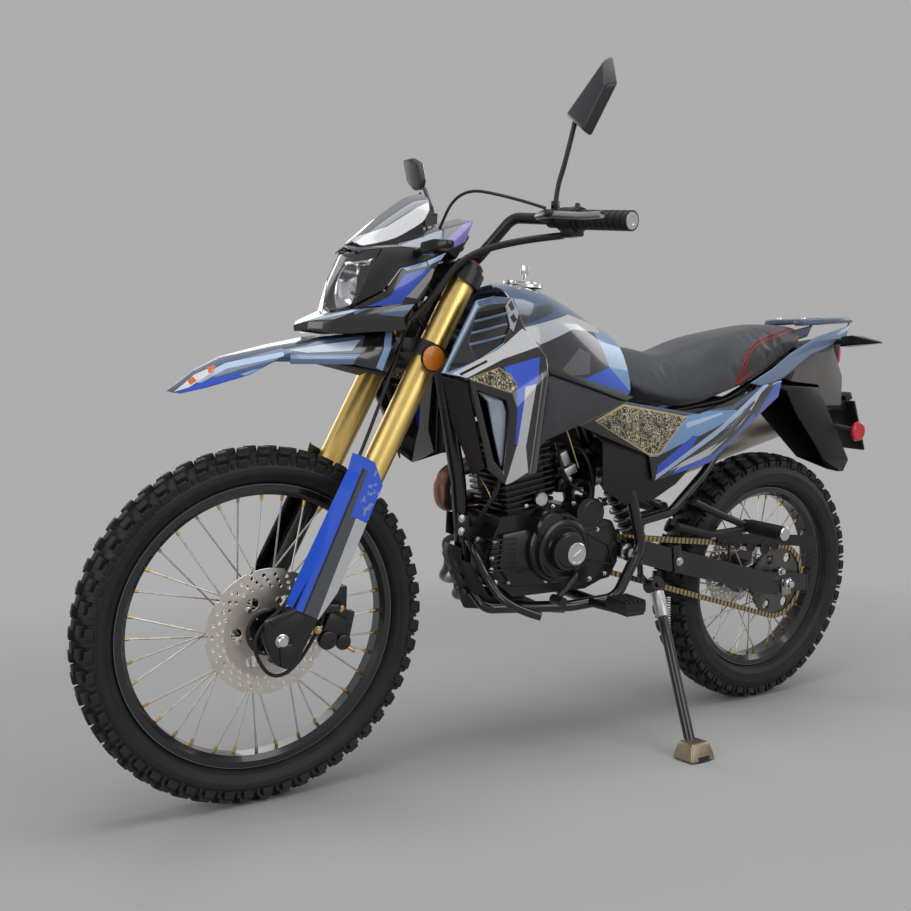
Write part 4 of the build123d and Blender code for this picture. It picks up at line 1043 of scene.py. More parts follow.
# ---------------------------------------------------------------- studio
@dataclass
class Studio:
    """Camera, soft lights, pale floor and background."""

    eye: Point = (2.0719, 1.8652, 0.6912)
    yaw: float = -121.84
    pitch: float = -0.64
    roll: float = -0.98
    focal_share: float = 981.2 / 911
    sensor: float = 36.0
    backdrop: float = 0.42
    even: float = 0.26
    fade: tuple[float, float] = (1.25, 3.2)

    def build(self) -> None:
        """Adds the camera, the lights, the floor and the world."""
        self.camera()
        self.lights()
        self.floor()
        self.world()

    def camera(self) -> None:
        """The camera at the viewing angle."""
        yaw, pitch, roll = (math.radians(a) for a in (self.yaw, self.pitch, self.roll))
        ahead = Vector((math.cos(yaw) * math.cos(pitch), math.sin(yaw) * math.cos(pitch), math.sin(pitch)))
        right = Vector((math.sin(yaw), -math.cos(yaw), 0))
        above = right.cross(ahead)
        turned = right * math.cos(roll) + above * math.sin(roll)
        upright = above * math.cos(roll) - right * math.sin(roll)
        data = bpy.data.cameras.new("camera")
        data.sensor_width = self.sensor
        data.sensor_fit = "HORIZONTAL"
        data.lens = self.sensor * self.focal_share
        data.clip_start = 0.05
        data.clip_end = 60
        camera = bpy.data.objects.new("camera", data)
        bpy.context.scene.collection.objects.link(camera)
        camera.matrix_world = Matrix((
            (turned.x, upright.x, -ahead.x, self.eye[0] + BIKE.shift.x),
            (turned.y, upright.y, -ahead.y, self.eye[1] + BIKE.shift.y),
            (turned.z, upright.z, -ahead.z, self.eye[2] + BIKE.shift.z), (0, 0, 0, 1)))
        bpy.context.scene.camera = camera

    def lights(self) -> None:
        """Large soft boxes: above, on each side and behind the viewer."""
        boxes = (("top_box", (0.2, 0.6, 3.3), (0, 0, 0.4), 3.2, 2.2, 52.0),
                 ("left_box", (-0.6, 3.6, 1.7), (0, 0, 0.7), 2.6, 1.8, 34.0),
                 ("front_box", (3.6, 0.8, 1.5), (0.2, 0, 0.6), 1.8, 2.0, 26.0),
                 ("right_box", (0.3, -3.6, 1.9), (0, 0, 0.7), 2.6, 1.8, 26.0),
                 ("rear_box", (-3.6, 0.4, 2.0), (-0.3, 0, 0.7), 1.8, 1.8, 20.0))
        for name, place, target, width, height, power in boxes:
            data = bpy.data.lights.new(name, "AREA")
            data.shape = "RECTANGLE"
            data.size = width
            data.size_y = height
            data.energy = power
            box = bpy.data.objects.new(name, data)
            bpy.context.scene.collection.objects.link(box)
            box.location = place
            box.rotation_euler = (Vector(target) - Vector(place)).to_track_quat("-Z", "Y").to_euler()

    def floor(self) -> None:
        """A plain floor, far larger than the view, that fades into the background past the shadow."""
        Bench.clear()
        bpy.ops.mesh.primitive_circle_add(vertices=96, radius=40, fill_type="NGON", location=(0, 0, -0.0005))
        floor = bpy.context.object
        floor.name = floor.data.name = "studio_floor"
        paint = Paint("studio_floor")
        place = paint.node("ShaderNodeTexCoord", output="Object")
        away = paint.node("ShaderNodeVectorMath", {"operation": "LENGTH"}, [place], output="Value")
        shade = paint.node("ShaderNodeTexNoise", {}, {"Vector": place, "Scale": 2.0, "Detail": 2.0})
        colour = paint.mix(shade * 0.06, grey(self.backdrop / 0.92), grey(self.backdrop * 1.02))
        lit = paint.node("ShaderNodeBsdfPrincipled", {}, {"Base Color": colour, "Roughness": 0.9,
                                                         "Specular IOR Level": 0.15})
        plain = paint.node("ShaderNodeEmission", {}, {"Color": grey(self.backdrop), "Strength": 1.0})
        share = away.ease(*self.fade) * paint.seen()
        paint.node("ShaderNodeOutputMaterial", {}, {
            "Surface": paint.node("ShaderNodeMixShader", {}, [share, lit, plain])})
        floor.data.materials.append(paint.material)

    def world(self) -> None:
        """A pale world: even light, and a plain background where it is seen."""
        world = bpy.data.worlds.new("studio_world")
        bpy.context.scene.world = world
        paint = Paint("studio_world", world)
        even = paint.node("ShaderNodeBackground", {}, {"Color": grey(1.0), "Strength": self.even})
        plain = paint.node("ShaderNodeBackground", {}, {"Color": grey(self.backdrop), "Strength": 1.0})
        paint.node("ShaderNodeOutputWorld", {}, {
            "Surface": paint.node("ShaderNodeMixShader", {}, [paint.seen(), even, plain])})
        bpy.context.scene.view_settings.view_transform = "Standard"


# ---------------------------------------------------------------- wheels
@dataclass
class Tyre:
    """A knobbly tyre: carcass with beads and ribs, and its lugs in rows."""

    name: str
    node: str
    axle: Vector
    radius: float
    half: float
    rim: float
    rim_half: float
    body: Body
    pitches: int
    lug_depth: float = 9.5
    centre_half: float = 11.0

    def build(self) -> None:
        """Builds the carcass and the lugs as one piece."""
        parts = [self.carcass()] + self.lugs()
        tyre = Bench.join(self.name, parts)
        Piece.settle(tyre, TYRE, self.body, "tyre_rubber", [self.node])

    def carcass(self) -> bpy.types.Object:
        """The turned carcass with two thin ribs near each bead."""
        tread = self.radius - self.lug_depth
        half, rim = self.half, self.rim
        side = [(0, tread), (half * 0.35, tread - 1.5), (half * 0.62, tread - 7), (half * 0.86, tread - 17),
                (half * 0.97, tread - 29), (half * 0.985, tread - 36), (half, (tread + rim) / 2 + 2),
                (half * 0.985, (tread + rim) / 2 - 5), (half * 0.93, rim + 18), (half * 0.90, rim + 17),
                (half * 0.86, rim + 11), (half * 0.80, rim + 8), (self.rim_half - 1, rim + 4.5),
                (self.rim_half - 5, rim + 1), (self.rim_half - 5, rim - 7)]
        profile = [(a, r) for a, r in reversed(side)] + [(-a, r) for a, r in side[1:]]
        return Bench.lathe("carcass", profile, self.axle, steps=120, closed=True, smooth=42)

    def lug(self, name: str, angle: float, across: float, reach: float, size: Point,
            tilt: float) -> bpy.types.Object:
        """One lug: a tapered block with soft edges.

        Args:
            name: A name while it is made.
            angle: Its place round the wheel.
            across: Its place across the tyre, in millimetres.
            reach: Radius of its outer face, in millimetres.
            size: Length round, width across and depth, in millimetres.
            tilt: How far it leans to the side, in radians.

        Returns:
            The lug.
        """
        place = Vector((0, across, reach - size[2] / 2)) * MM
        block = Bench.block(name, place, size, 0.0012, (-tilt, 0, 0), (0.86, 0.9), 1)
        block.data.transform(Matrix.Translation(self.axle) @ Matrix.Rotation(angle, 4, "Y"))
        return block

    def lugs(self) -> list[bpy.types.Object]:
        """Rows of lugs: two in the middle, one on each shoulder, and a rib below each shoulder lug."""
        pitch = 2 * math.pi / self.pitches
        length = pitch * self.radius
        deep = self.lug_depth + 4
        c = self.centre_half
        shoulder, side = self.half * 0.66, self.half * 0.92
        rows = (
            (0.0, c * 0.98, self.radius, (length * 0.56, c * 1.55, deep), math.radians(4)),
            (0.5, c * 0.02 - c, self.radius, (length * 0.56, c * 1.55, deep), -math.radians(4)),
            (0.18, shoulder, self.radius - 5.5, (length * 0.55, self.half * 0.36, deep), math.radians(26)),
            (0.68, -shoulder, self.radius - 5.5, (length * 0.55, self.half * 0.36, deep), -math.radians(26)),
            (0.30, side - 1.5, self.radius - 17, (length * 0.50, 9, 15), math.radians(12)),
            (0.80, 1.5 - side, self.radius - 17, (length * 0.50, 9, 15), -math.radians(12)),
            (0.80, side - 1.0, self.radius - 18, (length * 0.16, 5, 17), math.radians(10)),
            (0.30, 1.0 - side, self.radius - 18, (length * 0.16, 5, 17), -math.radians(10)))
        made = []
        for number, (phase, across, reach, size, tilt) in enumerate(rows):
            first = self.lug(f"lug_{number}", phase * pitch, across, reach, size, tilt)
            turns = [Matrix.Translation(self.axle) @ Matrix.Rotation(step * pitch, 4, "Y")
                     @ Matrix.Translation(-self.axle) for step in range(self.pitches)]
            made += Bench.copies(first, turns)
        return made


@dataclass
class Wheels:
    """Both wheels' rims, hubs, spokes, discs and tyres."""

    front_half: float = 42.0
    rear_half: float = 55.0

    def build(self) -> None:
        """Dresses the laced wheels and builds the tyres."""
        Tyre("front_knobby_tyre", "front_tyre", FRONT_AXLE, BIKE.front_r / MM, self.front_half, 279, 23,
             Body.FRONT_WHEEL, 52).build()
        Tyre("rear_knobby_tyre", "rear_tyre", REAR_AXLE, BIKE.rear_r / MM, self.rear_half, 241, 31,
             Body.REAR_WHEEL, 44, 11.0, 14.0).build()
        Piece.dress("front_laced_wheel",
                    LacedWheel("front_wheel_lacing", tuple(FRONT_AXLE), 0.044, 0.257, 0.279))
        Piece.dress("rear_laced_wheel",
                    LacedWheel("rear_wheel_lacing", tuple(REAR_AXLE), 0.060, 0.218, 0.241))
        Piece.dress("front_disc", DiscSteel("front_disc_steel", tuple(FRONT_AXLE), 0.088))
        Piece.dress("rear_disc", DiscSteel("rear_disc_steel", tuple(REAR_AXLE), 0.070))
        Piece.dress("rear_sprocket", Metal("sprocket_steel", (0.15, 0.145, 0.14), (0.08, 0.07, 0.06), 0.38))
        self.carrier()

    def carrier(self) -> None:
        """The front disc's black carrier with its six steel bolts, and the hub's small bolts."""
        ring = Bench.lathe("front_disc_carrier",
                           [(54.2, 26), (54.2, 46), (57, 46), (60, 42), (61, 30), (61, 26)], FRONT_AXLE,
                           steps=48, closed=True)
        Piece.settle(ring, ENAMEL, Body.FRONT_WHEEL, "black_metal")
        parts = []
        for number in range(6):
            turn = Matrix.Rotation(math.radians(60 * number + 12), 4, "Y")
            for reach, low, high, size in ((62, 53.5, 57.5, 6.2), (38, 60, 62, 2.2)):
                start = FRONT_AXLE + turn @ mm(reach, low, 0)
                parts.append(Bench.rod("bolt", start, start + mm(0, high - low, 0), size * MM, 0.0008, 12))
        Piece.settle(Bench.join("front_disc_bolts", parts), STEEL, Body.FRONT_WHEEL, "disc_steel")


# ---------------------------------------------------------------- front bodywork
def band(*corners: tuple[float, float], colour: Colour) -> Graphic:
    """A band on a panel, print or painted reflection: an outline of (x, z) points in millimetres, and its
    colour.
    """
    return (corners, colour)


THREE_RINGS = "dcba ijkl abfe bcgf cdhg daeh efji fgkj ghlk heil"


@dataclass
class FrontFender:
    """The high fender: a blade with a raised flank, a notch on each side and a dark rear part."""

    wall: float = 0.0032
    edge: float = 0.0016

    def build(self) -> None:
        """Builds the blade, its black underside and its mount."""
        self.blade()
        self.underside()

    def blade(self) -> None:
        """The gloss blade, with its print and painted sky highlights."""
        points = {
            "t0": (1578, 0, 800), "t1": (1530, 0, 838), "t2": (1483, 0, 864), "t3": (1394, 0, 889),
            "t4": (1318, 0, 907), "t5": (1240, 0, 918), "t6": (1150, 0, 931),
            "c0": (1573, 15, 799), "c1": (1530, 26, 829), "c2": (1483, 36, 852), "c3": (1384, 54, 884),
            "c4": (1310, 53, 900), "c5": (1210, 50, 915), "c6": (1150, 56, 927),
            "e0": (1562, 28, 798), "e1": (1520, 46, 810), "e2": (1448, 66, 835), "n": (1373, 70, 877),
            "nb": (1373, 72, 858), "wt": (1232, 75, 881), "wb": (1244, 76, 861),
            "rt": (1150, 76, 897), "rb": (1172, 76, 848)}
        faces = (("t0", "t1", "c1", "c0"), ("t1", "t2", "c2", "c1"), ("t2", "t3", "c3", "c2"),
                 ("t3", "t4", "c4", "c3"), ("t4", "t5", "c5", "c4"), ("t5", "t6", "c6", "c5"),
                 ("c0", "c1", "e1", "e0"), ("c1", "c2", "e2", "e1"), ("c2", "c3", "n", "e2"),
                 ("c3", "c4", "n"), ("c4", "c5", "wt", "n"), ("n", "wt", "wb", "nb"),
                 ("c5", "c6", "rt", "wt"), ("wt", "rt", "rb", "wb"))
        bands = (
            band((1575, 798), (1530, 838), (1483, 862), (1384, 886), (1373, 877), (1448, 833), (1520, 806),
                 colour=(0.05, 0.10, 0.22)),
            # Painted highlight: a pale blue stripe along the top edge, where the gloss would catch the sky.
            band((1540, 822), (1483, 856), (1384, 880), (1384, 872), (1483, 846), (1530, 818),
                 colour=(0.34, 0.48, 0.70)),
            # Painted sky reflection: a pale blue streak below the top edge.
            band((1500, 822), (1440, 846), (1420, 850), (1470, 828), colour=(0.24, 0.40, 0.70)),
            band((1570, 796), (1552, 812), (1470, 838), (1448, 833), (1520, 804), colour=ROYAL),
            band((1384, 886), (1209, 918), (1232, 881), (1373, 877), colour=(0.06, 0.09, 0.15)),
            # Painted highlight: the pale top-edge stripe carried on over the flank.
            band((1372, 884), (1300, 897), (1222, 909), (1248, 887), (1340, 880), colour=(0.46, 0.54, 0.68)),
            band((1376, 879), (1376, 855), (1240, 858), (1232, 882), colour=(0.10, 0.18, 0.34)),
            # Painted highlight: a thin pale stripe on the flank.
            band((1372, 874), (1372, 868), (1244, 871), (1240, 877), colour=(0.30, 0.40, 0.58)),
            band((1209, 920), (1140, 935), (1160, 840), (1250, 858), (1233, 881), colour=BLACK),
            # Painted highlight: a pale blue stripe on the dark rear part.
            band((1168, 926), (1154, 928), (1184, 850), (1198, 856), colour=(0.26, 0.42, 0.72)),
            band((1572, 801), (1534, 833), (1500, 850), (1508, 838), (1548, 810), colour=WHITE),
            band((1512, 846), (1498, 852), (1504, 838), (1514, 836), colour=(0.75, 0.16, 0.03)),
            band((1548, 822), (1538, 829), (1534, 822), (1545, 814), colour=(0.75, 0.16, 0.03)))
        blade = Bench.cage("front_fender_blade", points, faces, self.edge, self.wall, mirror=True)
        Piece.settle(blade, GlossPanel("fender_gloss", (0.06, 0.09, 0.16), bands), Body.STEERING,
                     "black_gloss", ["front_fender"])

    def underside(self) -> None:
        """The black inner part under the blade's rear, and the post to the lower clamp."""
        points = {"a": (1300, 0, 880), "b": (1292, 60, 868), "c": (1150, 0, 905), "d": (1150, 70, 880),
                  "e": (1158, 70, 834), "f": (1160, 0, 852), "g": (1268, 68, 858), "h": (1276, 0, 866)}
        faces = "abdc bged ghfe ahgb cdef"
        shell = Bench.cage("fender_inner", points, faces, 0.004, mirror=True)
        post = Bench.rod("fender_post", mm(1184, 0, 900), at_fork(612, 4), 0.021, 0.003)
        bolts = [Bench.rod("bolt", mm(1180, s * 62, 884), mm(1180, s * 75, 886), 0.006, 0.0015)
                 for s in (1, -1)]
        Piece.settle(Bench.join("fender_inner", [shell, post] + bolts), MATTE, Body.STEERING, "black_plastic")


@dataclass
class LampMask:
    """The lamp mask with its beak, printed cheeks, lamp, screen and instruments."""

    cluster_tilt: float = 0.62

    def build(self) -> None:
        """Builds every part of the mask."""
        self.beak()
        self.cheeks()
        self.lamp()
        self.screen()
        self.cluster()
        self.indicators()
        self.brackets()

    def beak(self) -> None:
        """The flat beak under the lamp."""
        points = {"tt": (1338, 0, 932), "tb": (1337, 0, 920), "at": (1320, 32, 940), "ab": (1322, 32, 923),
                  "bt": (1288, 63, 941), "bb": (1286, 63, 917), "ct": (1153, 98, 954), "cb": (1141, 96, 930),
                  "dt": (1124, 96, 984), "lt": (1268, 0, 960), "ls": (1256, 54, 968), "lr": (1240, 86, 966),
                  "mb": (1286, 0, 916), "rb": (1141, 0, 936), "rt": (1124, 0, 972)}
        faces = (("tt", "at", "ls", "lt"), ("at", "bt", "lr", "ls"), ("bt", "ct", "dt", "lr"),
                 ("tt", "tb", "ab", "at"), ("at", "ab", "bb", "bt"), ("bt", "bb", "cb", "ct"),
                 ("tb", "mb", "bb", "ab"), ("mb", "rb", "cb", "bb"), ("rb", "rt", "dt", "ct", "cb"),
                 ("lt", "ls", "lr", "dt", "rt"))
        bands = (
            band((1250, 962), (1180, 999), (1176, 993), (1246, 955), colour=(0.14, 0.24, 0.42)),
            # Painted highlight: a thin pale blue line along the beak's upper edge.
            band((1326, 942), (1240, 968), (1238, 964), (1322, 939), colour=(0.30, 0.42, 0.62)),
            band((1200, 958), (1152, 956), (1118, 986), (1130, 986), (1180, 968), colour=(0.09, 0.15, 0.27)))
        beak = Bench.cage("lamp_beak", points, faces, 0.002, mirror=True)
        Piece.settle(beak, GlossPanel("beak_gloss", BLACK, bands), Body.STEERING, "black_gloss",
                     ["headlamp_mask"])

    def cheeks(self) -> None:
        """The matte upper cheek, the printed lower cheek with painted highlights on its top edge, and the
        hood between lamp and instruments.
        """
        upper = {"a": (1190, 74, 1084), "b": (1156, 86, 1088), "c": (1064, 99, 1088), "d": (1112, 100, 1063),
                 "e": (1163, 98, 1047), "f": (1193, 91, 1004), "g": (1250, 74, 972), "h": (1220, 72, 1030)}
        cheek = Bench.cage("lamp_cheeks_upper", upper,
                           "abeh bcde efh fgh",
                           0.002, 0.004, mirror=True)
        Piece.settle(cheek, MATTE, Body.STEERING, "black_plastic")
        lower = {"a": (1252, 80, 968), "b": (1193, 95, 1004), "c": (1163, 101, 1047), "d": (1112, 103, 1064),
                 "e": (1066, 102, 1085), "f": (1092, 103, 1050), "g": (1112, 101, 990), "h": (1129, 101, 984),
                 "i": (1150, 104, 1010)}
        cheek = Bench.cage("lamp_cheeks_lower", lower,
                           "abih bci cdfi def fghi", 0.002, 0.005, mirror=True)
        bands = (
            band((1158, 1036), (1098, 1054), (1154, 992), (1190, 984), colour=ROYAL),
            band((1240, 964), (1186, 992), (1150, 1000), (1160, 978), colour=ROYAL),
            band((1098, 1052), (1086, 1050), (1128, 992), (1152, 994), colour=(0.36, 0.36, 0.37)),
            # Painted highlights: thin pale blue lines along the lower cheek's top edge.
            band((1164, 1048), (1112, 1066), (1110, 1056), (1152, 1044), colour=(0.34, 0.50, 0.76)),
            band((1110, 1066), (1064, 1087), (1072, 1074), (1104, 1058), colour=(0.34, 0.50, 0.76)))
        Piece.settle(cheek, GlossPanel("cheek_print_and_highlight", BLACK, bands), Body.STEERING, "black_gloss")
        hood = {"a": (1236, 0, 1090), "b": (1238, 44, 1080), "c": (1192, 72, 1086), "d": (1156, 86, 1091),
                "e": (1062, 99, 1090), "f": (1046, 64, 1136), "g": (1052, 0, 1146), "h": (1150, 48, 1104),
                "i": (1150, 0, 1110), "j": (975, 56, 1160), "k": (978, 0, 1170), "l": (1010, 84, 1112)}
        hood_piece = Bench.cage("lamp_hood", hood,
                                "abhi bcdh defh hfgi fjkg eljf",
                                0.003, 0.004, mirror=True)
        bands = (band((1070, 1100), (960, 1180), (940, 1180), (960, 1100), colour=(0.16, 0.12, 0.42)),
                 band((1156, 1092), (1064, 1092), (1046, 1138), (1090, 1120), colour=(0.13, 0.17, 0.27)))
        Piece.settle(hood_piece, GlossPanel("hood_gloss", (0.03, 0.035, 0.05), bands), Body.STEERING,
                     "black_gloss", ["cluster"])

    def lamp(self) -> None:
        """The clear lens over a bowl with its bulb shield, in a dark housing."""
        points = {"a": (1246, 0, 1070), "b": (1268, 0, 1022), "c": (1277, 0, 960), "d": (1222, 48, 1078),
                  "e": (1246, 52, 1022), "f": (1262, 54, 964), "g": (1192, 71, 1082), "h": (1217, 73, 1030),
                  "i": (1248, 72, 974)}
        lens = Bench.cage("lamp_lens", points, "adeb befc dghe ehif",
                          0.0, 0.0025, subdivide=2, mirror=True, crease=0.55)
        Piece.settle(lens, LENS, Body.STEERING, "lamp_clear", ["headlamp"])
        bowl = Bench.lathe("lamp_bowl", [(0, 14), (6, 24), (16, 36), (30, 44), (42, 46), (44, 48), (30, 47),
                                         (14, 39), (3, 27), (-3, 14)],
                           mm(1186, 0, 1004), Vector((1, 0, 0.12)), 40, True)
        shield = Bench.lathe("lamp_shield", [(0, 0), (0, 13), (6, 13), (16, 9), (20, 0)], mm(1204, 0, 1006),
                             Vector((1, 0, 0.12)), 24)
        bar = Bench.block("lamp_bar", mm(1196, 0, 1062), (26, 104, 12), 0.003, (0, 0.4, 0))
        Piece.settle(Bench.join("lamp_bowl", [bowl, bar]), CHROME, Body.STEERING, "lamp_clear")
        Piece.settle(shield, STEEL, Body.STEERING, "disc_steel")
        housing = {"a": (1236, 0, 1074), "b": (1188, 68, 1080), "c": (1212, 70, 1030), "d": (1242, 68, 972),
                   "e": (1262, 0, 960), "f": (1168, 0, 1060), "g": (1168, 50, 1050), "h": (1176, 52, 975),
                   "i": (1176, 0, 970)}
        shell = Bench.cage("lamp_housing", housing, "abgf bcg cdhg deih fghi",
                           0.0, 0.003, mirror=True)
        Piece.settle(shell, DEEP, Body.STEERING, "black_plastic")

    def screen(self) -> None:
        """The small smoked screen with its pale band, and its foot."""
        rows = (((1222, 0, 1100), (1225, 24, 1097), (1217, 41, 1089)),
                ((1168, 0, 1152), (1170, 44, 1141), (1156, 61, 1107)),
                ((1106, 0, 1199), (1108, 48, 1185), (1094, 63, 1146)),
                ((1068, 0, 1210), (1075, 42, 1196), (1081, 60, 1172)))
        points = {f"{r}{c}": place for r, row in enumerate(rows) for c, place in enumerate(row)}
        faces = [(f"{r}{c}", f"{r}{c + 1}", f"{r + 1}{c + 1}", f"{r + 1}{c}") for r in range(3)
                 for c in range(2)]
        screen = Bench.cage("smoked_screen", points, faces, 0.0, 0.003, subdivide=2, mirror=True, crease=0.35)
        bands = (band((1240, 1080), (1226, 1104), (1168, 1130), (1156, 1100), colour=WHITE),
                 band((1168, 1130), (1106, 1172), (1092, 1140), (1156, 1100), colour=WHITE),
                 band((1106, 1172), (1072, 1190), (1076, 1168), (1092, 1140), colour=WHITE))
        finish = GlossPanel("screen_print", (0.16, 0.17, 0.20), bands, 0.1)
        Piece.settle(screen, finish, Body.STEERING, "screen_smoke", ["windscreen"])
        foot = {"a": (1222, 0, 1092), "b": (1222, 41, 1080), "c": (1150, 60, 1098), "d": (1150, 0, 1112),
                "e": (1162, 0, 1146), "f": (1164, 42, 1132), "g": (1214, 22, 1091), "h": (1102, 46, 1176),
                "i": (1100, 0, 1190), "j": (1084, 52, 1120), "k": (1084, 0, 1130)}
        piece = Bench.cage("screen_foot", foot, "abfe bcf cjhf fhie adcb dkjc jkih", 0.002, mirror=True)
        Piece.settle(piece, MATTE, Body.STEERING, "black_plastic")

    def cluster(self) -> None:
        """The instruments facing the rider, with the ring of one dial."""
        tilt = self.cluster_tilt
        box = Bench.block("instruments", mm(1008, 0, 1112), (34, 116, 66), 0.008, (0, -tilt, 0),
                          (0.94, 0.94), 3)
        Piece.settle(box, DEEP, Body.STEERING, "black_plastic")
        face = Vector((-math.cos(tilt), 0, math.sin(tilt)))
        ring = Bench.lathe("dial_ring", [(0, 27), (3, 27), (4, 25), (3, 23), (0, 23)],
                           mm(1008, 18, 1112) + face * 0.017, face, 40, True)
        Piece.settle(ring, CHROME, Body.STEERING, "disc_steel")

    def indicators(self) -> None:
        """Front indicators: a short stalk and a tapered smoked body on each side."""
        points = {"a": (1146, 140, 1096), "b": (1108, 140, 1098), "c": (1106, 140, 1072),
                  "d": (1146, 140, 1072), "e": (1140, 176, 1100), "f": (1104, 176, 1101),
                  "g": (1104, 176, 1078), "h": (1138, 176, 1078), "i": (1124, 205, 1098),
                  "j": (1108, 205, 1098), "k": (1108, 205, 1086), "l": (1124, 205, 1086)}
        lamp = Bench.cage("front_indicators", points, THREE_RINGS, 0.004, segments=3)
        stalk = Bench.rod("stalk", mm(1128, 96, 1080), mm(1126, 142, 1085), 0.0085, 0.002)
        pair = Bench.both(Bench.join("front_indicators", [lamp, stalk]))
        Piece.settle(pair, SMOKE, Body.STEERING, "black_plastic", ["front_indicators"])
        centre = at_fork(604, 6)
        lens = Bench.lathe("amber_reflectors",
                           [(138, 0), (138, 20), (137, 24), (134, 24.6), (133, 22), (133, 0)],
                           centre, steps=48)
        Piece.settle(Bench.both(lens), AMBER, Body.STEERING, "")
        rim = Bench.lathe("reflector_holders",
                          [(130, 0), (130, 25.5), (136.5, 27), (138.5, 26.6), (136, 24.8),
                                                (133, 24.8), (133, 0)], centre, steps=48)
        stem = Bench.rod("stem", at_fork(604, 6, 124), at_fork(604, 6, 131), 0.008)
        Piece.settle(Bench.both(Bench.join("reflector_holders", [rim, stem])), DEEP, Body.STEERING,
                     "black_plastic")

    def brackets(self) -> None:
        """The mask's clamps on the fork legs and their arms."""
        parts = []
        for side in (1, -1):
            for up in (664, 730):
                inner = at_fork(up, 12, side * 72)
                outer = mm(1130, side * 96, 1006 + (up - 664) * 0.6)
                end = mm(1160, side * 88, 1010 + (up - 664) * 0.8)
                parts.append(Bench.tube("arm", [inner, inner + FORK_AHEAD * 0.03, outer, end], 0.006))
        Piece.settle(Bench.join("mask_brackets", parts), SATIN, Body.STEERING, "black_metal")


# ---------------------------------------------------------------- tank, shrouds and side panels
def shell_rows(rows: Sequence[Sequence[Point]]) -> tuple[dict, list]:
    """Points and faces of a half shell from rows of places, from the middle outward.

    Args:
        rows: Rows of places of one length, along the bike.

    Returns:
        Points by name, and faces between neighbouring rows.
    """
    points = {f"{r}.{c}": place for r, row in enumerate(rows) for c, place in enumerate(row)}
    faces = [(f"{r}.{c}", f"{r}.{c + 1}", f"{r + 1}.{c + 1}", f"{r + 1}.{c}")
             for r in range(len(rows) - 1) for c in range(len(rows[0]) - 1)]
    return points, faces


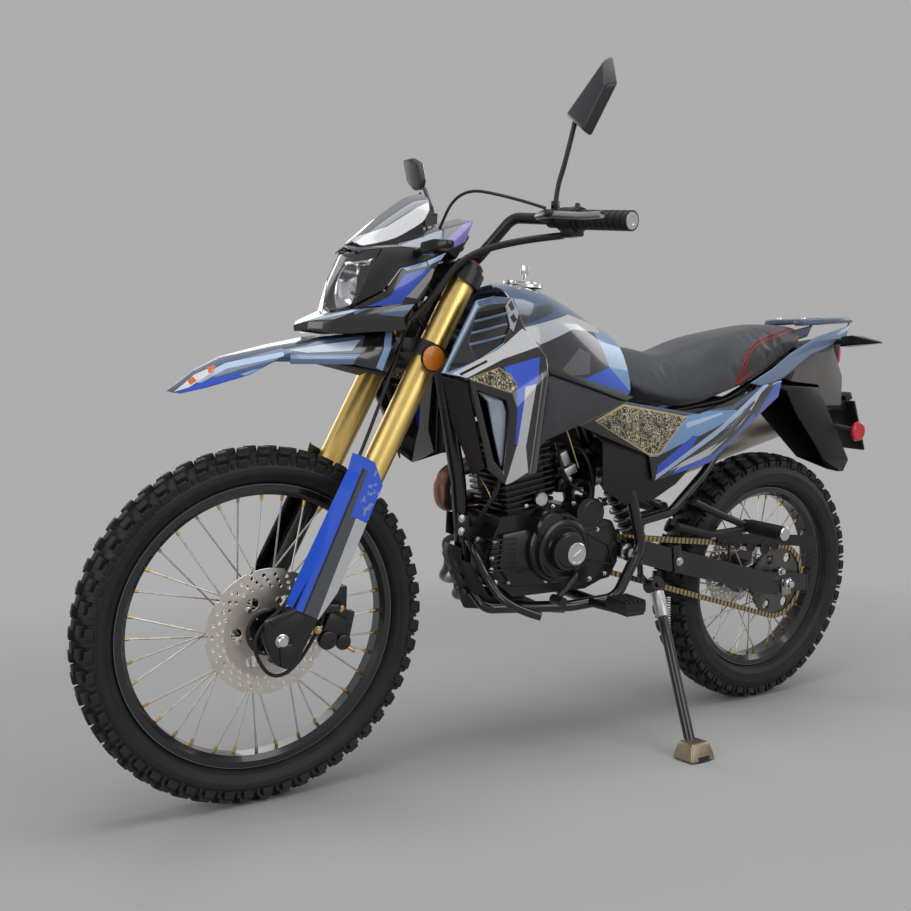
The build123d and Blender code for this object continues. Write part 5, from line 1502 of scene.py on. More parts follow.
@dataclass
class TankAndShrouds:
    """The fuel tank, the printed shrouds with their vents and a painted highlight, and the grey infill
    panels.
    """

    def build(self) -> None:
        """Builds the tank and both sides' panels."""
        self.tank()
        self.cap()
        self.shroud()
        self.vent()
        self.scoop()
        self.infill()

    def tank(self) -> None:
        """The tank's crowned shell, with its print and painted sky reflections."""
        rows = (((598, 0, 955), (598, 48, 950), (594, 92, 915), (586, 112, 862), (580, 122, 810)),
                ((648, 0, 978), (648, 56, 966), (648, 106, 922), (640, 122, 868), (632, 132, 806)),
                ((720, 0, 1014), (720, 64, 1000), (718, 122, 950), (716, 138, 892), (712, 146, 806)),
                ((800, 0, 1040), (800, 68, 1029), (800, 134, 984), (798, 150, 924), (792, 160, 812)),
                ((870, 0, 1043), (870, 70, 1033), (872, 136, 990), (872, 154, 930), (866, 166, 850)),
                ((897, 0, 1033), (897, 66, 1026), (910, 122, 990), (936, 134, 940), (942, 150, 880)))
        points, faces = shell_rows(rows)
        shell = Bench.cage("fuel_tank_shell", points, faces, 0.0, 0.004, subdivide=2, mirror=True,
                           crease=0.12)
        bands = (
            # Painted sky reflection: a lighter blue patch over the tank's rear end.
            band((700, 972), (600, 965), (575, 812), (651, 872), (752, 946), colour=(0.15, 0.30, 0.52)),
            band((866, 914), (768, 952), (690, 965), (651, 872), (732, 848), (866, 862),
                 colour=(0.020, 0.022, 0.028)),
            band((806, 866), (752, 912), (716, 900), (722, 858), (790, 852), colour=(0.10, 0.105, 0.115)),
            band((915, 944), (763, 982), (640, 962), (650, 948), (768, 950), (864, 915),
                 colour=(0.52, 0.54, 0.58)),
            band((905, 982), (800, 1004), (820, 980), (905, 950), colour=(0.03, 0.05, 0.07)),
            band((912, 997), (896, 1002), (913, 942), (937, 938), colour=ROYAL),
            band((738, 847), (651, 874), (580, 816), colour=ROYAL),
            # Painted highlight: a paler blue line along the crown.
            band((1012, 1000), (1002, 1012), (900, 1052), (800, 1056), (800, 1044), (900, 1036), (990, 1000),
                 colour=(0.16, 0.26, 0.42)))
        Piece.settle(shell, GlossPanel("tank_print_and_sky_reflection", (0.045, 0.10, 0.21), bands), Body.CHASSIS, "black_gloss",
                     ["fuel_tank"])

    def cap(self) -> None:
        """The lockable cap, its hinge and the key with its ring."""
        base = mm(805, 0, 1038)
        cap = Bench.lathe("fuel_cap", [(0, 44), (6, 44), (8, 41), (8, 34), (12, 33), (14, 30), (14, 0)], base,
                          Vector((0, 0, 1)), 48)
        hinge = Bench.block("hinge", mm(838, 0, 1049), (20, 26, 8), 0.002)
        bolts = [Bench.rod("bolt", mm(805 + 37 * math.cos(a), 37 * math.sin(a), 1044),
                           mm(805 + 37 * math.cos(a), 37 * math.sin(a), 1050), 0.0028, 0.0006, 12)
                 for a in (0.5, 1.6, 2.6, 3.7, 4.7, 5.7)]
        Piece.settle(Bench.join("fuel_cap", [cap, hinge] + bolts), STEEL, Body.CHASSIS, "disc_steel")
        key = Bench.rod("key", mm(800, 0, 1052), mm(800, 0, 1070), 0.0035, 0.001, 12)
        head = Bench.block("key_head", mm(800, 0, 1078), (20, 5, 20), 0.002)
        Piece.settle(Bench.join("fuel_key", [key, head]), STEEL, Body.CHASSIS, "disc_steel")

    def shroud(self) -> None:
        """The printed shroud, with a painted highlight on the vent's front edge and openings for the vent and
        the scoop.
        """
        points = {
            "N": (1113, 178, 852), "A": (1031, 163, 993), "A2": (985, 154, 1004), "B": (930, 144, 1004),
            "C": (906, 154, 945), "D": (972, 178, 882), "a": (1034, 168, 968), "b": (957, 157, 985),
            "c": (945, 158, 948), "d": (966, 167, 914), "e": (1030, 173, 878), "f": (1046, 167, 912),
            "J": (872, 184, 891), "K": (880, 200, 856), "L": (884, 183, 655), "T": (957, 188, 634),
            "M": (1003, 190, 664), "S": (1060, 196, 841), "R": (962, 202, 816), "Q": (952, 203, 786),
            "s": (1040, 193, 822), "r": (972, 198, 803), "q": (964, 198, 780), "t": (966, 187, 662),
            "m": (990, 188, 682), "Z": (866, 190, 850), "Y": (874, 176, 658)}
        faces = (("N", "A", "a", "f"), ("A", "A2", "b", "a"), ("A2", "B", "b"), ("B", "C", "c", "b"),
                 ("C", "D", "d", "c"), ("D", "N", "e", "d"), ("N", "f", "e"), ("N", "D", "R", "S"),
                 ("D", "C", "J", "R"), ("R", "J", "K", "Q"), ("Q", "K", "L", "T"),
                 ("S", "R", "r", "s"), ("R", "Q", "q", "r"), ("Q", "T", "t", "q"), ("T", "M", "m", "t"),
                 ("M", "S", "s", "m"), ("K", "Z", "Y", "L"), ("J", "Z", "K"))
        bands = (
            band((1112, 850), (1101, 852), (1022, 985), (1030, 996), (1036, 992), colour=(0.10, 0.16, 0.27)),
            band((1110, 850), (1030, 878), (966, 914), (962, 906), (1010, 872), (1082, 848),
                 colour=(0.16, 0.27, 0.46)),
            # Painted highlight: a thin pale line on the vent frame's front edge.
            band((1112, 852), (1106, 852), (1026, 988), (1030, 992), colour=(0.40, 0.50, 0.66)),
            band((1031, 996), (925, 1010), (928, 996), (1028, 984), colour=(0.10, 0.15, 0.25)),
            band((958, 988), (936, 1006), (920, 975), (938, 938), (948, 946), colour=(0.42, 0.44, 0.47)),
            band((950, 990), (940, 978), (930, 984), (938, 1000), colour=BLACK),
            band((946, 966), (936, 954), (926, 962), (934, 974), colour=BLACK),
            band((1092, 851), (980, 901), (972, 883), (1060, 844), colour=(0.66, 0.67, 0.69)),
            band((980, 901), (914, 945), (864, 917), (972, 883), colour=(0.66, 0.67, 0.69)),
            band((1075, 852), (1010, 880), (1008, 876), (1072, 848), colour=BLACK),
            band((888, 890), (974, 867), (962, 838), (930, 826), (903, 836), colour=ROYAL),
            band((953, 832), (930, 830), (934, 712), (946, 716), colour=ROYAL),
            band((932, 830), (906, 836), (919, 694), (942, 691), colour=(0.60, 0.61, 0.63)),
            band((942, 712), (918, 712), (904, 658), (962, 630), colour=(0.60, 0.61, 0.63)),
            band((882, 858), (872, 854), (880, 650), (893, 652), colour=(0.055, 0.06, 0.065)),
            band((892, 858), (888, 858), (897, 655), (900, 655), colour=(0.20, 0.21, 0.22)))
        shroud = Bench.cage("tank_shrouds_print", points, faces, 0.0025, 0.005, mirror=True, segments=3)
        finish = PrintedPanel("shroud_print_and_highlight", BLACK,
                              ((1058, 842), (985, 865), (960, 852), (950, 830), (968, 820)), 0.02, bands)
        Piece.settle(shroud, finish, Body.CHASSIS, "blue_gloss", ["tank_shrouds"])

    def vent(self) -> None:
        """The vent's dark bowl and its slats behind the frame."""
        bowl = {"a": (1036, 165, 972), "b": (952, 154, 989), "c": (942, 155, 947), "d": (964, 164, 910),
                "e": (1031, 170, 874), "f": (1050, 164, 912), "g": (1018, 155, 955), "h": (968, 149, 966),
                "i": (972, 155, 922), "j": (1020, 163, 896)}
        shell = Bench.cage("shroud_vents", bowl, "abhg bcih cdi deji efgj fag ghij", 0.0, 0.002, mirror=True)
        slats = []
        for lift in (0, 22, 44):
            for side in (1, -1):
                slats.append(Bench.tube("slat",
                                        [mm(1044 - lift * 0.1, side * (166 - lift * 0.05), 907 + lift),
                                                 mm(1000, side * (164 - lift * 0.05), 917 + lift),
                                                 mm(952, side * (160 - lift * 0.05), 929 + lift)], 0.0034))
        Piece.settle(shell, DEEP, Body.CHASSIS, "black_plastic")
        Piece.settle(Bench.join("vent_slats", slats), GlossPanel("slat_gloss", (0.10, 0.16, 0.25)),
                     Body.CHASSIS, "black_plastic")

    def scoop(self) -> None:
        """The lower scoop's recess and its pale blade."""
        recess = {"a": (1044, 190, 826), "b": (968, 196, 806), "c": (960, 196, 782), "d": (962, 185, 658),
                  "e": (994, 186, 680), "f": (1030, 160, 810), "g": (975, 162, 795), "h": (972, 158, 690),
                  "i": (990, 158, 700)}
        shell = Bench.cage("shroud_scoops", recess, "abgf bcg cdhg deih eafi fghi",
                           0.0, 0.002, mirror=True)
        Piece.settle(shell, DEEP, Body.CHASSIS, "black_plastic")
        blade = {"a": (1030, 188, 819), "b": (1008, 190, 800), "c": (990, 188, 735), "d": (966, 184, 668),
                 "e": (961, 186, 690), "f": (966, 192, 780), "g": (976, 193, 801), "h": (990, 184, 812)}
        piece = Bench.cage("scoop_blades", blade, "abgh bcfg cdef",
                           0.0015, 0.006, mirror=True)
        Piece.settle(piece, MattePlastic("blade_grey", (0.36, 0.40, 0.48), 0.35), Body.CHASSIS, "blue_gloss")
        inner = {"a": (1100, 166, 846), "b": (1052, 182, 836), "c": (1000, 178, 668), "d": (1010, 150, 650),
                 "e": (1060, 140, 760)}
        skirt = Bench.cage("shroud_inner_skirts", inner, "abce cde", 0.002, 0.004,
                           mirror=True)
        Piece.settle(skirt, MATTE, Body.CHASSIS, "black_plastic")

    def infill(self) -> None:
        """The grey panels behind the shrouds, and the dark strip above them."""
        points = {"a": (868, 188, 854), "b": (617, 141, 798), "c": (764, 168, 751), "d": (862, 186, 722),
                  "e": (846, 190, 772), "f": (882, 182, 700)}
        panel = Bench.cage("infill_panels", points, "abe bce cde dfae", 0.002, 0.005, mirror=True)
        Piece.settle(panel, ASH_PLASTIC, Body.CHASSIS, "black_plastic")
        strip = {"a": (872, 186, 870), "b": (584, 126, 807), "c": (616, 140, 798), "d": (866, 188, 855),
                 "e": (730, 160, 836), "f": (735, 166, 826)}
        piece = Bench.cage("tank_side_strips", strip, "aefd ebcf", 0.0015, 0.008,
                           mirror=True)
        Piece.settle(piece, MATTE, Body.CHASSIS, "black_plastic")


@dataclass
class SidePanels:
    """The printed side panels with a painted sky reflection across them, and the black ones under them."""

    def build(self) -> None:
        """Builds the printed panel and the inner one."""
        points = {"p0": (764, 156, 751), "p1": (617, 144, 800), "p2": (376, 128, 771), "p3": (137, 107, 842),
                  "p4": (64, 100, 856), "p5": (74, 101, 814), "p6": (165, 108, 757), "p7": (325, 124, 656),
                  "p8": (478, 136, 627), "p9": (519, 139, 619), "p10": (537, 141, 678),
                  "p11": (645, 146, 713), "i": (392, 140, 716), "j": (240, 126, 770)}
        faces = (("p0", "p1", "p10", "p11"), ("p1", "p2", "i", "p10"), ("i", "p9", "p10"), ("p2", "j", "i"),
                 ("p2", "p3", "j"), ("i", "j", "p9"), ("j", "p7", "p8", "p9"), ("j", "p6", "p7"),
                 ("j", "p3", "p5", "p6"), ("p3", "p4", "p5"))
        bands = (
            band((620, 804), (376, 776), (260, 792), (137, 846), (137, 838), (260, 780), (376, 764),
                 (620, 792), colour=(0.06, 0.10, 0.17)),
            # Painted sky reflection: a blue zone across the panel's upper middle.
            band((424, 768), (341, 779), (250, 782), (232, 774), (340, 735), (449, 700), (513, 676),
                 (536, 676), colour=(0.17, 0.31, 0.55)),
            # Painted highlight: a paler streak within that reflection.
            band((420, 752), (300, 776), (296, 772), (416, 740), colour=(0.42, 0.54, 0.74)),
            band((507, 655), (403, 722), (388, 722), (403, 690), (447, 663), (512, 622), colour=ROYAL),
            band((512, 622), (510, 634), (326, 732), (124, 850), (118, 842), (320, 718),
                 colour=(0.42, 0.55, 0.78)),
            band((470, 640), (330, 704), (212, 778), (153, 830), (150, 822), (219, 750), (330, 675),
                 (440, 640), colour=(0.60, 0.61, 0.63)),
            band((452, 650), (330, 708), (236, 764), (232, 758), (330, 697), colour=BLACK),
            band((400, 668), (290, 722), (178, 806), (174, 800), (286, 710), colour=(0.07, 0.07, 0.08)),
            band((340, 680), (262, 730), (196, 784), (192, 778), (258, 722), colour=BLACK),
            band((300, 730), (262, 748), (214, 786), (212, 782), (258, 744), colour=(0.20, 0.20, 0.22)),
            band((470, 628), (430, 648), (317, 676), (229, 724), (176, 772), (160, 768), (229, 700),
                 (325, 648), (420, 626), colour=ROYAL),
            band((500, 622), (470, 640), (430, 652), (470, 628), colour=(0.03, 0.04, 0.06)),
            band((138, 800), (73, 860), (50, 862), (66, 808), (163, 752), (170, 762), colour=ROYAL),
            band((142, 806), (96, 850), (86, 852), (134, 804), colour=BLACK),
            band((170, 762), (150, 786), (120, 838), (112, 840), (142, 790), (160, 764), colour=BLACK),
            band((764, 752), (617, 801), (612, 796), (752, 748), colour=(0.10, 0.11, 0.12)))
        panel = Bench.cage("side_panels_print", points, faces, 0.002, 0.005, mirror=True)
        outline = ((704, 757), (622, 790), (420, 764), (504, 686), (534, 682))
        Piece.settle(panel, PrintedPanel("side_print_and_sky_reflection", BLACK, outline, 0.035, bands), Body.CHASSIS,
                     "blue_gloss", ["side_panels"])
        inner = {"a": (700, 118, 745), "b": (520, 120, 770), "c": (300, 112, 790), "d": (300, 108, 700),
                 "e": (430, 120, 606), "f": (502, 128, 575), "g": (586, 126, 567), "h": (652, 124, 604),
                 "i": (656, 120, 706), "j": (540, 132, 668)}
        panel = Bench.cage("side_panels_inner", inner, "abji bcdj defj fghj hij",
                           0.003, 0.005, mirror=True)
        Piece.settle(panel, MATTE, Body.CHASSIS, "black_plastic")
        bolts = [Bench.lathe("bolt", [(0, 9), (4, 9), (6, 7), (6, 4), (4, 3.4), (4, 0)],
                             mm(494, side * 118, 584), Vector((0, side, 0)), 20) for side in (1, -1)]
        Piece.settle(Bench.join("side_panel_bolts", bolts), STEEL, Body.CHASSIS, "disc_steel")


# ---------------------------------------------------------------- seat and tail
@dataclass
class Seat:
    """The padded seat: its foam swells under the cover, then gets piping."""

    voxel: float = 0.006
    pressure: float = 4.0
    cap: float = 0.006
    frames: int = 20

    def build(self) -> None:
        """Builds the pad, simulates it, and lays the piping on it."""
        pad = self.pad()
        pad = self.swell(pad)
        self.piping(pad)
        dark = ((236, 838), (196, 926), (142, 953), (-30, 996), (-90, 1014), (-90, 940), (60, 850))
        cover = Vinyl("seat_vinyl_cover", (0.036, 0.041, 0.052), 0.44, dark)
        Piece.settle(pad, cover, Body.CHASSIS, "seat_vinyl", ["seat"])

    def pad(self) -> bpy.types.Object:
        """The seat's closed form from its stations."""
        stations = ((606, 953, 34, 58, 926, 74, 884), (580, 936, 50, 92, 884, 118, 826),
                    (520, 913, 62, 108, 862, 124, 808), (450, 900, 74, 116, 850, 125, 794),
                    (390, 908, 84, 120, 850, 125, 788), (330, 931, 90, 121, 862, 123, 799),
                    (270, 950, 92, 118, 876, 119, 814), (200, 965, 88, 110, 892, 111, 834),
                    (130, 979, 80, 100, 914, 101, 860), (40, 995, 68, 84, 950, 86, 908),
                    (-62, 1006, 48, 66, 984, 70, 964))
        rows = [((x, 0, top + 3), (x, half * 0.6, top + 1), (x, half, top - 9), (x, mid_y, mid_z),
                 (x, low_y, low_z + 8), (x, low_y - 6, low_z), (x, 0, low_z + 2))
                for x, top, half, mid_y, mid_z, low_y, low_z in stations]
        points, faces = shell_rows(rows)
        last = len(rows) - 1
        faces.append([f"0.{c}" for c in range(7)])
        faces.append([f"{last}.{c}" for c in reversed(range(7))])
        return Bench.cage("seat_pad", points, faces, 0.0, 0.0, subdivide=2, mirror=True, crease=0.1)

    def swell(self, pad: bpy.types.Object) -> bpy.types.Object:
        """Voxel remesh, a short pressure simulation with its moves capped, then a subdivision."""
        Bench.modify(pad, "REMESH", mode="VOXEL", voxel_size=self.voxel)
        rest = [vertex.co.copy() for vertex in pad.data.vertices]
        Bench.only(pad)
        cloth = pad.modifiers.new("cloth", "CLOTH")
        cloth.settings.quality = 4
        cloth.settings.use_pressure = True
        cloth.settings.uniform_pressure_force = self.pressure
        cloth.settings.effector_weights.gravity = 0
        cloth.collision_settings.use_collision = False
        cloth.point_cache.frame_end = self.frames
        scene = bpy.context.scene
        for number in range(1, self.frames + 1):
            scene.frame_set(number)
        bpy.ops.object.modifier_apply(modifier=cloth.name)
        scene.frame_set(1)
        for vertex, start in zip(pad.data.vertices, rest):
            move = vertex.co - start
            if move.length > self.cap:
                vertex.co = start + move.normalized() * self.cap
        Bench.modify(pad, "SMOOTH", factor=0.5, iterations=4)
        Bench.modify(pad, "SUBSURF", levels=1, render_levels=1)
        return Bench.soften(pad, 60)

    def piping(self, pad: bpy.types.Object) -> None:
        """Two red stitched lines that end the pad's grey side, on both sides."""
        parts = []
        for side in (1, -1):
            for offset in (0, 9):
                route = [mm(x, side * 160, z) for x, z in
                         ((236 - offset, 842), (222 - offset, 872), (206 - offset, 908),
                          (182 - offset, 934 - offset * 0.3), (142, 953 - offset * 0.8), (60, 975 - offset),
                          (-30, 996 - offset), (-64, 1003 - offset))]
                smooth = Bench.tube("line", route, 0.0008, 3)
                points = [vertex.co.copy() for vertex in smooth.data.vertices]
                bpy.data.objects.remove(smooth)
                laid = []
                for step in range(0, len(points) - 9, 10):
                    middle = sum(points[step:step + 10], Vector()) / 10
                    hit, place, _normal, _face = pad.ray_cast(middle, Vector((0, -side, 0)))
                    if hit:
                        laid.append(place + Vector((0, side * 0.0004, 0)))
                if len(laid) > 3:
                    parts.append(Bench.tube("piping", laid, 0.0013, 3))
        Piece.settle(Bench.join("seat_piping", parts), PIPING_RED, Body.CHASSIS, "seat_vinyl")


@dataclass
class Tail:
    """Tail covers, rack, lamps, inner fender, mudguard and reflectors."""

    hole: float = 0.0043
    hole_x: tuple[float, float] = (-110.0, -190.0)
    hole_y: float = 42.0

    def build(self) -> None:
        """Builds every part behind the seat."""
        self.covers()
        self.rack()
        self.inner_fender()
        self.mudguard()
        self.light()
        self.indicators()
        self.reflectors()

    def covers(self) -> None:
        """The gloss covers that rise to the rack."""
        points = {"a": (178, 106, 846), "b": (128, 105, 838), "c": (50, 101, 861), "d": (-63, 90, 920),
                  "e": (-228, 66, 976), "f": (-248, 60, 1018), "g": (-234, 66, 1006), "h": (-90, 82, 972),
                  "i": (20, 93, 926), "j": (100, 102, 882), "k": (-150, 78, 952)}
        faces = "abj bcij cdhi dkh kegh efg"
        bands = (band((130, 836), (50, 866), (-60, 926), (-150, 952), (-230, 986), (-235, 970), (-60, 910),
                      (50, 855), colour=(0.014, 0.018, 0.026)),)
        cover = Bench.cage("tail_covers", points, faces, 0.003, 0.006, mirror=True, segments=3)
        Piece.settle(cover, GlossPanel("tail_cover_gloss", (0.15, 0.22, 0.36), bands), Body.CHASSIS,
                     "black_gloss", ["tail_rack"])

    def rack(self) -> None:
        """The rack plate with its slot and grab edges."""
        parts = []
        for side in (1, -1):
            rail = Bench.block("rail", mm(-150, side * 49, 1014), (200, 34, 15), 0.004, (0, 0.09, 0))
            for x in self.hole_x:
                cutter = Bench.rod("cutter", mm(x, side * self.hole_y, 985), mm(x, side * self.hole_y, 1045),
                                   self.hole, 0, 24)
                Bench.modify(rail, "BOOLEAN", operation="DIFFERENCE", object=cutter)
                bpy.data.objects.remove(cutter)
            parts.append(rail)
        parts.append(Bench.block("front", mm(-74, 0, 1010), (46, 110, 13), 0.004, (0, 0.09, 0)))
        parts.append(Bench.block("rear", mm(-232, 0, 1022), (24, 112, 13), 0.004, (0, 0.09, 0)))
        parts.append(Bench.block("middle", mm(-150, 0, 1012), (30, 110, 9), 0.003, (0, 0.09, 0)))
        rack = Bench.join("rear_rack", parts)
        Piece.settle(rack, GlossPanel("rack_gloss", (0.09, 0.13, 0.20), (), 0.3, 0.6), Body.CHASSIS,
                     "black_metal")
        bolts = [Bench.rod("bolt", mm(x, y, 1012), mm(x, y, 1024 - x * 0.02 - 4), 0.006, 0.0015, 16)
                 for x in (-80, -226) for y in (-40, 40)]
        Piece.settle(Bench.join("rack_bolts", bolts), STEEL, Body.CHASSIS, "disc_steel")

    def inner_fender(self) -> None:
        """The grey inner fender between the covers, down to the mudguard."""
        points = {"a": (-60, 58, 935), "b": (-180, 52, 958), "c": (-190, 50, 945), "d": (-168, 50, 888),
                  "e": (-250, 40, 868), "f": (-258, 38, 790), "g": (-176, 50, 790), "h": (-130, 60, 846),
                  "i": (-20, 64, 852), "at": (-60, 0, 948), "bt": (-186, 0, 966), "et": (-262, 0, 868),
                  "ft": (-270, 0, 786), "ct": (-200, 0, 945), "it": (-20, 0, 866)}
        faces = (("a", "b", "c", "d"), ("d", "c", "e"), ("d", "e", "f", "g"), ("a", "d", "h", "i"),
                 ("d", "g", "h"), ("a", "at", "bt", "b"), ("b", "bt", "ct", "c"), ("c", "ct", "et", "e"),
                 ("e", "et", "ft", "f"), ("i", "it", "at", "a"))
        shell = Bench.cage("inner_fender", points, faces, 0.004, 0.004, mirror=True)
        Piece.settle(shell, MattePlastic("inner_fender_grey", (0.15, 0.145, 0.14), 0.55), Body.CHASSIS,
                     "black_plastic", ["rear_mudguard"])

    def mudguard(self) -> None:
        """The black mudguard that tapers down behind the wheel, with the plate holder."""
        points = {"o0": (36, 70, 842), "o1": (-134, 63, 839), "o2": (-176, 60, 788), "o3": (-301, 50, 640),
                  "o4": (-312, 28, 604), "c0": (36, 0, 856), "c1": (-140, 0, 852), "c2": (-188, 0, 792),
                  "c3": (-318, 0, 640), "c4": (-326, 0, 600), "i1": (-45, 67, 772), "i3": (-203, 49, 639),
                  "i0": (0, 70, 828)}
        faces = (("o0", "o1", "c1", "c0"), ("o1", "o2", "c2", "c1"), ("o2", "o3", "c3", "c2"),
                 ("o3", "o4", "c4", "c3"), ("o0", "i0", "i1", "o1"), ("o1", "i1", "o2"),
                 ("o2", "i1", "i3", "o3"), ("o3", "i3", "o4"))
        guard = Bench.cage("mudguard", points, faces, 0.003, 0.004, mirror=True)
        holder = Bench.block("holder", mm(-330, 0, 735), (8, 110, 150), 0.003, (0, 0.42, 0))
        arm = Bench.block("arm", mm(-262, 0, 790), (110, 60, 26), 0.004, (0, -0.1, 0))
        lamp = Bench.block("lamp", mm(-318, 0, 812), (30, 46, 22), 0.004, (0, 0.4, 0))
        Piece.settle(Bench.join("mudguard", [guard, holder, arm, lamp]), DEEP, Body.CHASSIS, "black_plastic")

    def light(self) -> None:
        """The rear light's ribbed red lens in its housing."""
        lens = Bench.block("rear_lamp_lens", mm(-236, 0, 930), (26, 84, 50), 0.008, (0, -0.2, 0),
                           (0.9, 0.92), 3)
        Piece.settle(lens, RED, Body.CHASSIS, "lamp_red", ["tail_light"])
        house = Bench.block("rear_lamp_housing", mm(-212, 0, 935), (36, 94, 62), 0.006, (0, -0.2, 0))
        Piece.settle(house, DEEP, Body.CHASSIS, "black_plastic")

    def indicators(self) -> None:
        """Rear indicators: pointed smoked bodies on short stalks."""
        points = {"a": (-152, 104, 974), "b": (-196, 104, 974), "c": (-196, 104, 948), "d": (-152, 104, 948),
                  "e": (-146, 140, 978), "f": (-198, 140, 978), "g": (-196, 140, 952), "h": (-150, 140, 952),
                  "i": (-152, 218, 963), "j": (-168, 218, 963), "k": (-168, 218, 959), "l": (-152, 218, 959)}
        lamp = Bench.cage("rear_indicators", points, THREE_RINGS, 0.003, segments=3)
        stalk = Bench.rod("stalk", mm(-180, 62, 962), mm(-176, 106, 962), 0.008, 0.002)
        pair = Bench.both(Bench.join("rear_indicators", [lamp, stalk]))
        Piece.settle(pair, SMOKE, Body.CHASSIS, "black_plastic", ["rear_indicators"])

    def reflectors(self) -> None:
        """Red side reflectors on their brackets by the mudguard."""
        for side, name in ((1, "left"), (-1, "right")):
            lens = Bench.lathe(f"red_reflector_{name}",
                               [(0, 0), (2, 22), (0, 26), (-6, 27), (-8, 24), (-8, 0)],
                               mm(-284, side * 88, 722), Vector((0, side, 0)), 40)
            Piece.settle(lens, RED, Body.CHASSIS, "lamp_red")
        stem = Bench.tube("reflector_stems", [mm(-284, 80, 722), mm(-270, 76, 728), mm(-230, 52, 738)], 0.005)
        Piece.settle(Bench.both(stem), SATIN, Body.CHASSIS, "black_metal")


# ---------------------------------------------------------------- small hardware
class Hardware:
    """Bolts, caps and other small turned or moulded pieces."""

    @staticmethod
    def bolt(x: float, y: float, z: float, size: float = 6.0, high: float = 5.0) -> bpy.types.Object:
        """A hexagon flange bolt that faces the left side, its seat at y in millimetres."""
        side = 1 if y > 0 else -1
        head = Bench.rod("bolt", mm(x, y - side, z), mm(x, y + side * high, z), size * MM, 0.0008, 6)
        flange = Bench.rod("flange", mm(x, y - side, z), mm(x, y + side * 1.4, z), size * 1.28 * MM,
                           0.0004, 20)
        return Bench.join("bolt", [head, flange])

    @staticmethod
    def bolts(name: str, places: Sequence[Sequence[float]], body: Body, finish: Finish) -> None:
        """A group of bolts as one piece."""
        Piece.settle(Bench.join(name, [Hardware.bolt(*place) for place in places]), finish, body,
                     "disc_steel")

    @staticmethod
    def side_plate(name: str, outline: Outline, low: float, high: float,
                   bevel: float = 0.003) -> bpy.types.Object:
        """A plate in the bike's side plane, between two places across, in millimetres."""
        return Bench.plate(name, [mm(x, low, z) for x, z in outline], mm(0, high - low, 0), bevel)

    @staticmethod
    def coil(name: str, start: Vector, end: Vector, radius: float, wire: float,
             turns: int) -> bpy.types.Object:
        """A coil spring between two points, in metres."""
        along = (end - start).normalized()
        out = along.orthogonal().normalized()
        across = along.cross(out)
        steps = turns * 8
        route = []
        for step in range(steps + 1):
            angle = step * math.pi / 4
            offset = (out * math.cos(angle) + across * math.sin(angle)) * radius
            route.append(start + (end - start) * (step / steps) + offset)
        return Bench.tube(name, route, wire, 3, 3)


@dataclass
class ForkDetails:
    """The left leg's casting, the caliper's shape, the axle's ends, and the caps and seals on both legs."""

    cap_up: float = 814.0
    seal_up: float = 308.0

    def build(self) -> None:
        """Builds the casting, the caliper and the axle's ends."""
        casting = Hardware.side_plate("fork_casting", (
            (1424, 386), (1370, 408), (1310, 416), (1300, 404), (1325, 376), (1341, 350), (1352, 330),
            (1366, 296), (1384, 292), (1410, 308), (1424, 336), (1430, 360)), 99, 122, 0.005)
        rib = Hardware.side_plate("rib", ((1420, 391), (1366, 412), (1312, 418), (1314, 410), (1364, 402),
                                          (1416, 379)),
                                  118, 128, 0.003)
        hollow = Bench.block("foot", mm(1386, 112, 322), (30, 30, 44), 0.006, (0, 0.1, 0))
        Piece.settle(Bench.join("fork_casting", [casting, rib, hollow]), CAST_BLACK, Body.STEERING,
                     "black_metal")
        nut = Bench.lathe("axle_bolts",
                          [(121, 0), (121, 13), (123, 13), (124, 11), (129, 10.4), (131, 8.6), (131, 0)],
                          FRONT_AXLE, steps=32)
        Piece.settle(Bench.both(nut), STEEL, Body.STEERING, "disc_steel")
        parts = [Bench.block("block", mm(1270, 82, 350), (58, 14, 60), 0.006, (0, -0.35, 0), (0.85, 0.85)),
                 Bench.block("block", mm(1262, 84, 383), (44, 20, 18), 0.005, (0, -0.5, 0)),
                 Bench.rod("piston", mm(1290, 80, 330), mm(1290, 97, 330), 0.019, 0.004),
                 Bench.rod("piston", mm(1256, 80, 322), mm(1256, 95, 322), 0.016, 0.004),
                 Bench.block("block", mm(1244, 80, 352), (16, 18, 60), 0.004, (0, -0.2, 0)),
                 Bench.rod("arm", mm(1266, 86, 392), mm(1318, 104, 400), 0.012, 0.003)]
        Piece.settle(Bench.join("caliper_body", parts), CAST_BLACK, Body.STEERING, "black_metal")
        Hardware.bolts("caliper_bolts", ((1266, 94, 391, 6), (1311, 92, 353, 6), (1246, 88, 320, 4.5)),
                       Body.STEERING, BRASS)
        union = [Bench.rod("union", mm(1248, 84, 312), mm(1230, 90, 300), 0.004, 0.001, 12),
                 Bench.rod("union", mm(1262, 85, 322), mm(1298, 85, 327), 0.005, 0.001, 12)]
        Piece.settle(Bench.join("hose_union", union), BRASS, Body.STEERING, "disc_steel")
        turned = (
            ("fork_caps", SATIN, "black_metal", self.cap_up, False,
             [(-11, 27.1), (-11, 28.6), (1, 28.6), (3, 26), (3, 16), (9, 15), (10, 13), (10, 0)]),
            ("fork_cap_rings", PIPING_RED, "disc_steel", self.cap_up, True,
             [(3, 17), (3, 24), (6, 24), (7, 20), (6, 17)]),
            ("fork_seals", SATIN, "black_metal", self.seal_up, True,
             [(-8, 27.1), (-8, 30), (6, 30), (9, 28.5), (9, 27.1)]))
        for name, finish, slot, up, closed, profile in turned:
            pair = [Bench.lathe("ring", profile, at_fork(up, 0, side * FORK_HALF / MM), FORK_UP, 32, closed)
                    for side in (1, -1)]
            Piece.settle(Bench.join(name, pair), finish, Body.STEERING, slot)


